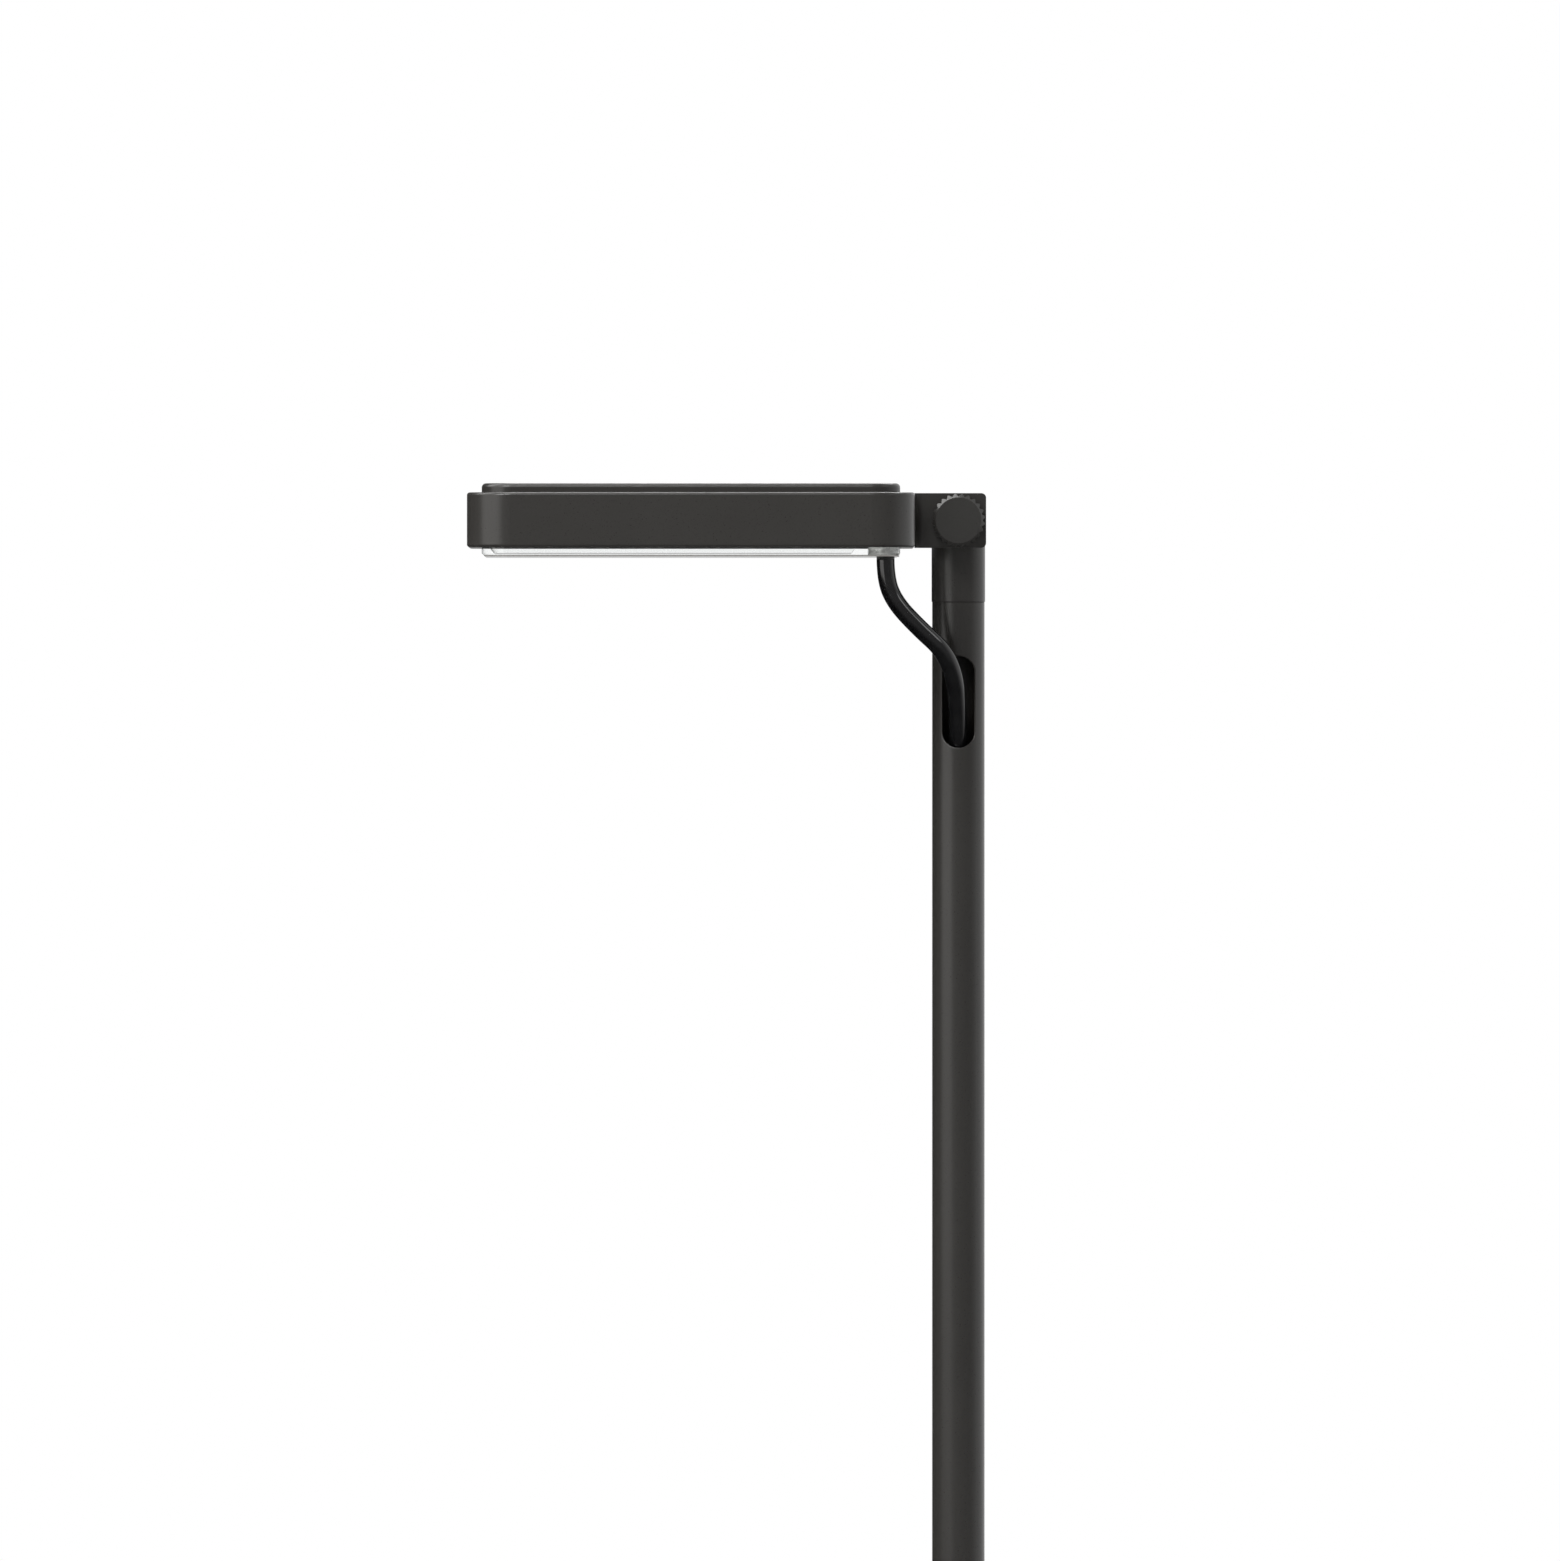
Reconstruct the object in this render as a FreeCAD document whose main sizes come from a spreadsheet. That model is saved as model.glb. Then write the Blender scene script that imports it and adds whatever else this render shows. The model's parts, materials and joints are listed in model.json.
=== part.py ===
import FreeCAD, Part
import math
import os
import Sketcher
from FreeCAD import Placement, Rotation, Vector

# Path light: a flat square lamp head on a fork hinge, clamped by a knurled knob, on a round post with a foot.
# Millimetres, +Z up. The origin is the middle of the foot's underside, and the head reaches towards -X.
# The knob, the slot in the post and the lead between head and post face -Y.

doc = FreeCAD.newDocument("path_light")
dims = doc.addObject("Spreadsheet::Sheet", "dims")

sizes = {
    # Clearances
    "press_gap": 0.05,
    "slip_gap": 0.1,
    "panel_gap": 0.3,
    # Foot
    "base_diameter": 100,
    "base_thickness": 8,
    "base_edge_round": 2,
    "base_bolt_circle": 76,
    "base_bolt_hole": 6.6,
    "base_bolt_count": 4,
    "base_collar_diameter": 30,
    "base_collar_height": 4,
    "base_spigot_length": 32,
    "supply_bore": 12,
    "spigot_bore": 13,
    # Post
    "tube_diameter": 22,
    "tube_wall": 2,
    "tube_length": 560,
    "slot_width": 13.4,
    "slot_length": 38.5,
    "slot_below_top": 22.5,
    "slot_edge_round": 0.4,
    "grub_diameter": 5,
    "grub_length": 4,
    "grub_spread": 35,
    "grub_edge_distance": 9,
    # Knuckle on top of the post
    "sleeve_diameter": 22.5,
    "sleeve_edge_break": 0.4,
    "knuckle_spigot_length": 18,
    "hinge_above_tube": 34.4,
    "flat_spacing": 18,
    "flat_drop": 7.2,
    # Fork between knuckle and head
    "fork_gap": 0.4,
    "ear_thickness": 5,
    "arm_reach": 18.4,
    "arm_end": 11.6,
    "arm_height": 22.9,
    "arm_end_round": 2,
    "arm_root_round": 3.8,
    "arm_screw_diameter": 5,
    "arm_screw_length": 11,
    "arm_screw_from_side": 6,
    "arm_screw_head_diameter": 8,
    "arm_screw_raise": 0.5,
    "arm_screw_head_height": 3,
    "tilt_down": 15,
    # Pivot
    "pivot_diameter": 8,
    "pivot_head_diameter": 16,
    "pivot_head_height": 3.6,
    "pivot_engagement": 7,
    "bush_diameter": 11,
    "bush_length": 7,
    "bush_flange_diameter": 13,
    "running_gap": 0.05,
    "face_gap": 0.1,
    "washer_diameter": 20,
    "washer_thickness": 1.2,
    # Knob
    "knob_diameter": 22.4,
    "knob_depth": 10,
    "knob_face_diameter": 19.2,
    "knob_bevel_depth": 1.8,
    "knob_teeth": 24,
    "knob_tooth_depth": 1.15,
    "knob_insert_diameter": 12,
    "knob_insert_length": 8,
    # Head frame
    "head_size": 187.6,
    "head_height": 23,
    "head_corner": 18,
    "head_edge_round": 1.2,
    "frame_wall": 3,
    "rim_depth": 3.5,
    "ledge_thickness": 2.5,
    "ledge_reach": 12,
    "panel_inset": 6.2,
    "gasket_thickness": 1,
    "gasket_margin": 0.5,
    # Cover
    "cover_rise": 3.8,
    "cover_skin": 3,
    "cover_edge_round": 1.8,
    "cover_screw_diameter": 2.5,
    "cover_screw_head": 4.6,
    "cover_screw_rim": 0.2,
    "cover_screw_length": 12,
    "cover_screw_inset": 10.5,
    "cover_screw_from_end": 34,
    "screw_boss_diameter": 6,
    "screw_boss_height": 4,
    # Lens
    "lens_drop": 3.85,
    "lens_window": 1.5,
    "lens_chamfer": 1.3,
    "lens_draft": 36,
    "lens_window_end": 29.3,
    "lens_wall": 1.4,
    # Light source
    "led_rows": 6,
    "led_size": 3.2,
    "led_height": 0.7,
    "optic_margin": 2.5,
    "board_thickness": 1.6,
    "reflector_plate": 1.6,
    "reflector_wall": 1.1,
    "cup_gap": 2.2,
    "reflector_throat": 6.4,
    "reflector_air": 7,
    "optic_screw_diameter": 3,
    "optic_screw_head": 5.4,
    "optic_screw_head_height": 1.8,
    "optic_screw_bite": 2,
    "optic_post_diameter": 7,
    # Gear in the connection strip
    "strip_width": 35.1,
    "tray_thickness": 1.5,
    "tray_lip": 10,
    "tray_screw_diameter": 3,
    "tray_screw_head": 5.5,
    "tray_screw_head_height": 1.8,
    "driver_from_side": 15.8,
    "driver_height": 10.5,
    "driver_edge": 1.2,
    "driver_start": 4,
    "terminal_width": 13,
    "terminal_length": 24,
    "terminal_height": 10,
    "terminal_start": 62,
    "gear_clearance": 1.5,
    # Lead and its gland
    "lead_diameter": 7.6,
    "lead_out_x": 30.6,
    "lead_out_y": 19,
    "gland_radius": 7.2,
    "gland_flange": 2.5,
    "gland_flange_height": 2,
    "clamp_thickness": 2,
    "clamp_width": 12,
    "clamp_length": 32,
    "clamp_screw_spacing": 25,
    "lead_stub_height": 2,
    "core_rise": 5,
    "core_diameter": 2.2,
    "core_circle": 2.6,
    "plug_diameter": 15,
    "plug_length": 30,
    "plug_neck": 12,
    "socket_length": 22,
    "socket_diameter": 13,
}
for row, (alias, value) in enumerate(sizes.items(), start=1):
    dims.set("A%d" % row, alias)
    dims.set("B%d" % row, str(value))
    dims.setAlias("B%d" % row, alias)
doc.recompute()

# Levels and places that several pieces share, as expressions on the sheet.
tube_radius = "(dims.tube_diameter / 2)"
bore_radius = "(dims.tube_diameter / 2 - dims.tube_wall)"
spigot_radius = "(dims.tube_diameter / 2 - dims.tube_wall - dims.slip_gap)"
tube_foot = "dims.base_thickness"
tube_top = "(dims.base_thickness + dims.tube_length)"
hinge_level = "(dims.base_thickness + dims.tube_length + dims.hinge_above_tube)"
spigot_top = "(dims.base_thickness + dims.base_spigot_length)"
sleeve_radius = "(dims.sleeve_diameter / 2)"
pivot_radius = "(dims.pivot_diameter / 2)"
ear_inner = "(dims.sleeve_diameter / 2 + dims.fork_gap)"
ear_outer = "(dims.sleeve_diameter / 2 + dims.fork_gap + dims.ear_thickness)"
washer_front = "(%s + dims.face_gap + dims.washer_thickness)" % ear_outer
knob_back = "(%s + dims.face_gap)" % washer_front
knob_front = "(%s + dims.knob_depth)" % knob_back
head_middle = "(-dims.arm_reach - dims.head_size / 2)"
half_head = "(dims.head_size / 2)"
half_height = "(dims.head_height / 2)"
ledge_face = "(dims.head_height / 2 - dims.rim_depth)"
ledge_back = "(dims.head_height / 2 - dims.rim_depth - dims.ledge_thickness)"
panel_seat = "(%s + dims.gasket_thickness)" % ledge_face
cover_top = "(dims.head_height / 2 + dims.cover_rise)"
cover_inside = "(%s - dims.cover_skin)" % cover_top
lens_bottom = "(-dims.head_height / 2 - dims.lens_drop)"
window_top = "(%s + dims.lens_window)" % lens_bottom
board_bottom = "(%s - dims.board_thickness)" % cover_inside
optic_size = "(dims.head_size - dims.ledge_reach - dims.optic_margin - dims.strip_width)"
led_pitch = "(%s / dims.led_rows)" % optic_size
cup_mouth = "(%s - dims.cup_gap)" % led_pitch
optic_x = "(-%s + dims.ledge_reach + dims.optic_margin + %s / 2)" % (half_head, optic_size)
optic_right = "(%s + %s / 2)" % (optic_x, optic_size)
reflector_top = "(%s - dims.slip_gap)" % board_bottom
reflector_bottom = "(%s + dims.reflector_air)" % window_top
tray_top = "(-%s + dims.tray_thickness)" % ledge_back
lead_radius = "(dims.lead_diameter / 2)"
lead_x = "(-dims.lead_out_x - %s)" % head_middle
lead_y = "(-dims.lead_out_y)"
gear_left = "(%s + 2 * dims.gear_clearance + dims.tray_thickness)" % optic_right
arm_screw_y = "(%s - dims.arm_screw_from_side)" % ear_outer
boss_inside = "(%s - dims.cover_screw_inset - dims.screw_boss_diameter / 2)" % half_head


def number(expression):
    return float(dims.evalExpression(expression))


def bind(item, **expressions):
    for name, expression in expressions.items():
        item.setExpression(name, expression)
    return item


def place(item, x="0", y="0", z="0", rotation=Rotation()):
    item.Placement = Placement(Vector(), rotation)
    for axis, expression in zip("xyz", (x, y, z)):
        item.setExpression("Placement.Base." + axis, expression)
    return item


along_x = Rotation(Vector(0, 1, 0), 90)
along_minus_y = Rotation(Vector(1, 0, 0), 90)


def box(name, x, y, z):
    """A block between two expressions on each axis."""
    item = doc.addObject("Part::Box", name)
    for side, (low, high) in zip(("Length", "Width", "Height"), (x, y, z)):
        item.setExpression(side, "%s - (%s)" % (high, low))
    return place(item, x[0], y[0], z[0])


def cylinder(name, radius, length, x="0", y="0", z="0", rotation=Rotation()):
    item = doc.addObject("Part::Cylinder", name)
    return place(bind(item, Radius=radius, Height=length), x, y, z, rotation)


def joined(kind, name, items):
    item = doc.addObject(kind, name)
    item.Shapes = list(items)
    return item


def cut(name, base, *tools):
    item = doc.addObject("Part::Cut", name)
    item.Base = base
    item.Tool = tools[0] if len(tools) == 1 else joined("Part::MultiFuse", name + "_tools", tools)
    return item


def new_body(name):
    return doc.addObject("PartDesign::Body", name)


def new_sketch(body, role, name, offset="0"):
    sketch = body.newObject("Sketcher::SketchObject", name)
    plane = next(item for item in body.Origin.OriginFeatures if item.Role == role)
    sketch.AttachmentSupport = [(plane, "")]
    sketch.MapMode = "FlatFace"
    sketch.setExpression("AttachmentOffset.Base.z", offset)
    return sketch


def pin(sketch, geometry, point, x, y):
    """Fixes one point of a sketch element by two expressions."""
    for kind, expression in (("DistanceX", x), ("DistanceY", y)):
        index = sketch.addConstraint(Sketcher.Constraint(kind, -1, 1, geometry, point, number(expression)))
        sketch.setExpression("Constraints[%d]" % index, expression)


def vector(x, y):
    return Vector(number(x), number(y), 0)


def circle(sketch, x, y, radius):
    index = sketch.addGeometry(Part.Circle(vector(x, y), Vector(0, 0, 1), number(radius)))
    pin(sketch, index, 3, x, y)
    rule = sketch.addConstraint(Sketcher.Constraint("Radius", index, number(radius)))
    sketch.setExpression("Constraints[%d]" % rule, radius)


def outline(sketch, points):
    """A closed outline. A point is (x, y), or (x, y, middle x, middle y) where an arc about that middle
    ends there. A half circle runs counter-clockwise, or clockwise where a fifth item says -1."""
    count = len(points)
    first = sketch.GeometryCount
    for index in range(count):
        start = vector(*points[index - 1][:2])
        end = vector(*points[index][:2])
        if len(points[index]) == 2:
            sketch.addGeometry(Part.LineSegment(start, end))
            continue
        middle = vector(*points[index][2:4])
        chord = (start + end) / 2 - middle
        if chord.Length < 1e-6:
            turn = (points[index] + (1,))[4]
            chord = Vector(middle.y - start.y, start.x - middle.x, 0) * turn
        crown = middle + chord.normalize() * (start - middle).Length
        sketch.addGeometry(Part.Arc(start, crown, end))
    for index in range(count):
        piece = first + index
        if len(points[index]) == 2:
            pin(sketch, piece, 1, *points[index - 1][:2])
            pin(sketch, piece, 2, *points[index][:2])
    for index in range(count):
        if len(points[index]) == 2:
            continue
        piece = first + index
        before = first + (index - 1) % count
        after = first + (index + 1) % count
        # An arc keeps the given direction only when it runs counter-clockwise, so its ends are matched by place.
        forward = sketch.getPoint(piece, 1).distanceToPoint(vector(*points[index - 1][:2])) < 1e-6
        begin, finish = (1, 2) if forward else (2, 1)
        sketch.addConstraint(Sketcher.Constraint("Tangent", before, 2, piece, begin))
        sketch.addConstraint(Sketcher.Constraint("Coincident", piece, finish, after, 1))


def rounded_square(sketch, inset):
    """The head's plan outline, drawn in by an inset."""
    side = "(%s - %s)" % (half_head, inset)
    centre = "(%s - dims.head_corner)" % half_head
    outline(sketch, [
        (centre, "-" + side), (side, "-" + centre, centre, "-" + centre),
        (side, centre), (centre, side, centre, centre),
        ("-" + centre, side), ("-" + side, centre, "-" + centre, centre),
        ("-" + side, "-" + centre), ("-" + centre, "-" + side, "-" + centre, "-" + centre)])


def rectangle(sketch, x0, y0, x1, y1):
    outline(sketch, [(x1, y0), (x1, y1), (x0, y1), (x0, y0)])


def gland_notch(sketch, grow, right):
    """The U-shaped outline of the gland, opening towards the head's arm side."""
    radius = "(dims.gland_radius + (%s))" % grow
    low = "(%s - %s)" % (lead_y, radius)
    high = "(%s + %s)" % (lead_y, radius)
    outline(sketch, [(right, low), (right, high), (lead_x, high), (lead_x, low, lead_x, lead_y)])


def pad(body, sketch, length, middle=False, down=False):
    feature = body.newObject("PartDesign::Pad", sketch.Name + "_pad")
    feature.Profile = sketch
    feature.setExpression("Length", length)
    feature.Midplane = middle
    feature.Reversed = down
    return feature


def pocket(body, sketch, length, middle=False, up=False, taper=None):
    """Cuts against the sketch's normal, or along it where up is set."""
    feature = body.newObject("PartDesign::Pocket", sketch.Name + "_pocket")
    feature.Profile = sketch
    feature.setExpression("Length", length)
    feature.Midplane = middle
    feature.Reversed = up
    if taper:
        feature.setExpression("TaperAngle", taper)
    return feature


def revolve(body, sketch, kind="PartDesign::Revolution", axis="V_Axis"):
    feature = body.newObject(kind, sketch.Name + "_turned")
    feature.Profile = sketch
    feature.ReferenceAxis = (sketch, [axis])
    feature.Angle = 360
    return feature


def dress(body, kind, test, **size):
    """Rounds or bevels the edges of the body's last feature that pass the test."""
    doc.recompute()
    base = body.Tip
    names = ["Edge%d" % index for index, edge in enumerate(base.Shape.Edges, start=1) if test(edge)]
    feature = body.newObject(kind, base.Name + "_edge")
    feature.Base = (base, names)
    return bind(feature, **size)


def at_level(edge, level):
    return abs(edge.BoundBox.ZMin - level) < 1e-4 and abs(edge.BoundBox.ZMax - level) < 1e-4


def turned(radii_and_levels):
    """A solid turned about Z from (radius, level) pairs, up along the outside."""
    points = [Vector(radius, 0, level) for radius, level in radii_and_levels]
    face = Part.Face(Part.makePolygon(points + points[:1]))
    return face.revolve(Vector(), Vector(0, 0, 1), 360)


def group(name, solids, x="0", y="0", z="0"):
    """One named object of separate solids."""
    item = doc.addObject("Part::Feature", name)
    item.Shape = Part.makeCompound(solids)
    return place(item, x, y, z)


def moved(solid, position, rotation=Rotation()):
    copy = solid.copy()
    copy.Placement = Placement(position, rotation)
    return copy


def pan_screw(radius, length, head_radius, head_height):
    """A screw with a low round head. Its seat is at level 0 and its shank points down."""
    crown = 0.75 * head_radius
    shoulder = head_height / 2
    return turned([(0, -length), (radius, -length), (radius, 0), (head_radius, 0),
                   (head_radius, shoulder), (crown, head_height), (0, head_height)])


def arc_path(points):
    """Straight runs joined by tangent arcs, each as large as its two runs allow, and the arcs' radii."""
    share_of_run = 0.45
    edges = []
    radii = []
    start = points[0]
    for before, corner, after in zip(points, points[1:], points[2:]):
        back = before - corner
        ahead = after - corner
        turn = math.pi - back.getAngle(ahead)
        setback = share_of_run * min(back.Length, ahead.Length)
        radius = setback / math.tan(turn / 2)
        back.normalize()
        ahead.normalize()
        bisector = (back + ahead).normalize()
        crown = corner + bisector * (math.hypot(setback, radius) - radius)
        enter = corner + back * setback
        leave = corner + ahead * setback
        edges.append(Part.LineSegment(start, enter).toShape())
        edges.append(Part.Arc(enter, crown, leave).toShape())
        radii.append(radius)
        start = leave
    edges.append(Part.LineSegment(start, points[-1]).toShape())
    return Part.Wire(edges), radii


def round_tube(points, radius):
    path, radii = arc_path(points)
    direction = points[1] - points[0]
    section = Part.Wire(Part.makeCircle(radius, points[0], direction))
    solid = path.makePipeShell([section], True, False)
    return solid, path.Length, radii


# Foot: a turned plate with a collar round the post and a spigot inside it, bored for the supply cable.

def make_base_flange():
    body = new_body("flange_blank")
    half = "(dims.base_diameter / 2)"
    collar = "(dims.base_collar_diameter / 2)"
    collar_top = "(dims.base_thickness + dims.base_collar_height)"
    socket = "(%s + dims.slip_gap)" % tube_radius
    bore = "(dims.supply_bore / 2)"
    wide_bore = "(dims.spigot_bore / 2)"
    profile = new_sketch(body, "XZ_Plane", "flange_profile")
    outline(profile, [(half, "0"), (half, tube_foot), (collar, tube_foot), (collar, collar_top),
                      (socket, collar_top), (socket, tube_foot), (spigot_radius, tube_foot),
                      (spigot_radius, spigot_top), (wide_bore, spigot_top), (wide_bore, tube_foot),
                      (bore, tube_foot), (bore, "0")])
    revolve(body, profile)
    rim = number(half)
    level = number(tube_foot)
    crown = number(collar_top)
    dress(body, "PartDesign::Fillet", lambda edge: at_level(edge, level) and edge.BoundBox.XMax > rim - 1e-3,
          Radius="dims.base_edge_round")
    dress(body, "PartDesign::Chamfer",
          lambda edge: at_level(edge, crown) and edge.BoundBox.XMax > number(collar) - 1e-3,
          Size="dims.base_collar_height / 4")
    holes = new_sketch(body, "XY_Plane", "foot_bolt_hole")
    circle(holes, "dims.base_bolt_circle / 2 * cos(45)", "dims.base_bolt_circle / 2 * sin(45)",
           "dims.base_bolt_hole / 2")
    hole = pocket(body, holes, "dims.base_thickness", up=True)
    ring = body.newObject("PartDesign::PolarPattern", "foot_bolt_holes")
    ring.Originals = [hole]
    ring.Axis = (holes, ["N_Axis"])
    ring.Angle = 360
    bind(ring, Occurrences="dims.base_bolt_count")
    body.Tip = ring
    return cut("base_flange", body, *grub_holes("flange_grub", "%s + dims.base_spigot_length / 2" % tube_foot))


def grub_turns():
    return (90 - number("dims.grub_spread"), 90 + number("dims.grub_spread"))


def grub_holes(name, level):
    """Round cutters on the back of the post for the two grub screws."""
    cutters = []
    for side, turn in zip(("a", "b"), grub_turns()):
        rotation = Rotation(Vector(0, 0, 1), turn) * along_x
        reach = "%s - dims.slip_gap - dims.grub_length" % tube_radius
        cutters.append(cylinder(name + "_hole_" + side, "dims.grub_diameter / 2 + dims.press_gap",
                                "dims.base_collar_diameter", "(%s) * cos(%f)" % (reach, turn),
                                "(%s) * sin(%f)" % (reach, turn), level, rotation))
    return cutters


def make_grub_screws(name, level):
    """Two cup-point grub screws with a hexagon socket, flush with the post."""
    radius = number("dims.grub_diameter / 2")
    length = number("dims.grub_length")
    outer = number("%s - dims.slip_gap" % tube_radius)
    point = 0.6 * radius
    shoulder = -0.8 * length
    blank = turned([(0, -length), (point, -length), (radius, shoulder), (radius, 0), (0, 0)])
    key_radius = 0.55 * radius
    key_turns = [k * math.pi / 3 for k in range(7)]
    corners = [Vector(key_radius * math.cos(turn), key_radius * math.sin(turn), 0) for turn in key_turns]
    key = Part.Face(Part.makePolygon(corners)).extrude(Vector(0, 0, -length / 2))
    screw = blank.cut(key)
    solids = []
    for turn in grub_turns():
        rotation = Rotation(Vector(0, 0, 1), turn) * along_x
        spot = Vector(outer * math.cos(math.radians(turn)), outer * math.sin(math.radians(turn)), 0)
        solids.append(moved(screw, spot, rotation))
    return group(name, solids, z=level)


# Post: a drawn tube with an upright cable slot in its front and drilled for the grub screws behind.

def make_post_tube():
    body = new_body("tube_blank")
    section = new_sketch(body, "XY_Plane", "tube_section", tube_foot)
    circle(section, "0", "0", tube_radius)
    circle(section, "0", "0", bore_radius)
    pad(body, section, "dims.tube_length")
    slot = new_sketch(body, "XZ_Plane", "slot_outline")
    half = "(dims.slot_width / 2)"
    high = "(%s - dims.slot_below_top - %s)" % (tube_top, half)
    low = "(%s - dims.slot_below_top - dims.slot_length + %s)" % (tube_top, half)
    outline(slot, [(half, high), ("-" + half, high, "0", high), ("-" + half, low), (half, low, "0", low)])
    pocket(body, slot, tube_radius, up=True)
    rim = number(tube_radius)
    span = number("dims.slot_width / 2")

    def on_slot(edge):
        bounds = edge.BoundBox
        in_front = bounds.XMax < span + 1e-3 and bounds.XMin > -span - 1e-3 and bounds.YMax < 0
        return in_front and all(abs(math.hypot(point.x, point.y) - rim) < 1e-3 for point in edge.discretize(5))

    dress(body, "PartDesign::Fillet", on_slot, Radius="dims.slot_edge_round")
    foot_level = "%s + dims.base_spigot_length / 2" % tube_foot
    top_level = "%s - dims.grub_edge_distance" % tube_top
    holes = grub_holes("tube_foot_grub", foot_level) + grub_holes("tube_top_grub", top_level)
    return cut("post_tube", body, *holes)


# Knuckle: a ball-ended sleeve with a spigot in the post, flats for the bushes and a cross bore for the pivot.

def make_post_knuckle():
    body = new_body("knuckle_blank")
    profile = new_sketch(body, "XZ_Plane", "knuckle_profile")
    foot = "(%s - dims.knuckle_spigot_length)" % tube_top
    crown = "(%s + %s)" % (hinge_level, sleeve_radius)
    lead_in = "(%s + dims.sleeve_edge_break)" % tube_top
    broken = "(%s - dims.sleeve_edge_break)" % sleeve_radius
    outline(profile, [(spigot_radius, foot), (spigot_radius, tube_top), (broken, tube_top),
                      (sleeve_radius, lead_in), (sleeve_radius, hinge_level), ("0", crown, "0", hinge_level),
                      ("0", foot)])
    revolve(body, profile)
    high = "(%s + dims.sleeve_diameter)" % hinge_level
    low = "(%s - dims.flat_drop)" % hinge_level
    flats = []
    for name, inner, outer in (("rear_flat", "dims.flat_spacing / 2", "dims.sleeve_diameter"),
                               ("front_flat", "-dims.sleeve_diameter", "-dims.flat_spacing / 2")):
        flats.append(box(name, ("-dims.sleeve_diameter", "dims.sleeve_diameter"), (inner, outer), (low, high)))
    bore = cylinder("knuckle_bore", "dims.bush_diameter / 2 + dims.press_gap", "2 * dims.sleeve_diameter",
                    y="dims.sleeve_diameter", z=hinge_level, rotation=along_minus_y)
    top_level = "%s - dims.grub_edge_distance" % tube_top
    return cut("post_knuckle", body, bore, *flats, *grub_holes("knuckle_grub", top_level))


# Fork: two ears outside the knuckle, a bridge with a round-ended gap, and flared roots against the head.

def make_hinge_arm():
    body = new_body("arm_blank")
    plan = new_sketch(body, "XY_Plane", "arm_plan", hinge_level)
    root = "(-dims.arm_reach)"
    bend = "(-dims.arm_reach + dims.arm_root_round)"
    flare = "(%s + dims.arm_root_round)" % ear_outer
    outline(plan, [("dims.arm_end", "-" + ear_outer), ("dims.arm_end", "-" + ear_inner), ("0", "-" + ear_inner),
                   ("0", ear_inner, "0", "0", -1), ("dims.arm_end", ear_inner), ("dims.arm_end", ear_outer),
                   (bend, ear_outer), (root, flare, bend, flare), (root, "-" + flare),
                   (bend, "-" + ear_outer, bend, "-" + flare)])
    pad(body, plan, "dims.arm_height", middle=True)
    end = number("dims.arm_end")
    top = number("%s + dims.arm_height / 2" % hinge_level)
    low = number("%s - dims.arm_height / 2" % hinge_level)
    dress(body, "PartDesign::Fillet",
          lambda edge: edge.BoundBox.XMin > end - 1e-3 and (at_level(edge, top) or at_level(edge, low)),
          Radius="dims.arm_end_round")
    # The gap is cleared again at the lowest tilt, so that the bridge passes the sleeve.
    tilt = Rotation(Vector(0, 1, 0), 180 + number("dims.tilt_down"))
    relief = cylinder("arm_relief", ear_inner, "2 * dims.arm_height", z=hinge_level, rotation=tilt)
    bush_room = cylinder("arm_bush_room", "dims.bush_flange_diameter / 2 + dims.fork_gap", "2 * " + ear_inner,
                         y=ear_inner, z=hinge_level, rotation=along_minus_y)
    bore = cylinder("arm_bore", "%s + dims.slip_gap" % pivot_radius, "2 * %s" % ear_outer, z=hinge_level,
                    rotation=along_minus_y)
    half = "(%s + dims.slip_gap)" % pivot_radius
    neck = box("arm_square", ("-" + half, half), ("0", "2 * " + ear_outer),
               ("%s - %s" % (hinge_level, half), "%s + %s" % (hinge_level, half)))
    holes = [cylinder("arm_screw_hole_" + side, "dims.arm_screw_diameter / 2 + dims.press_gap",
                      "dims.arm_screw_length - dims.frame_wall", "-dims.arm_reach", sign + arm_screw_y,
                      "%s + dims.arm_screw_raise" % hinge_level, along_x)
             for side, sign in (("a", "-"), ("b", ""))]
    return cut("hinge_arm", body, relief, bush_room, bore, neck, *holes)


def make_arm_screws():
    screw = pan_screw(number("dims.arm_screw_diameter / 2"), number("dims.arm_screw_length - dims.slip_gap"),
                      number("dims.arm_screw_head_diameter / 2"), number("dims.arm_screw_head_height"))
    offset = number(arm_screw_y)
    solids = [moved(screw, Vector(0, side * offset, 0), Rotation(Vector(0, 1, 0), -90)) for side in (-1, 1)]
    return group("arm_screws", solids, "-dims.arm_reach - dims.frame_wall", "0",
                 "%s + dims.arm_screw_raise" % hinge_level)


# Pivot: a round-head bolt with a square neck in the rear ear, two flanged bushes in the knuckle, washer, knob.

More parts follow.
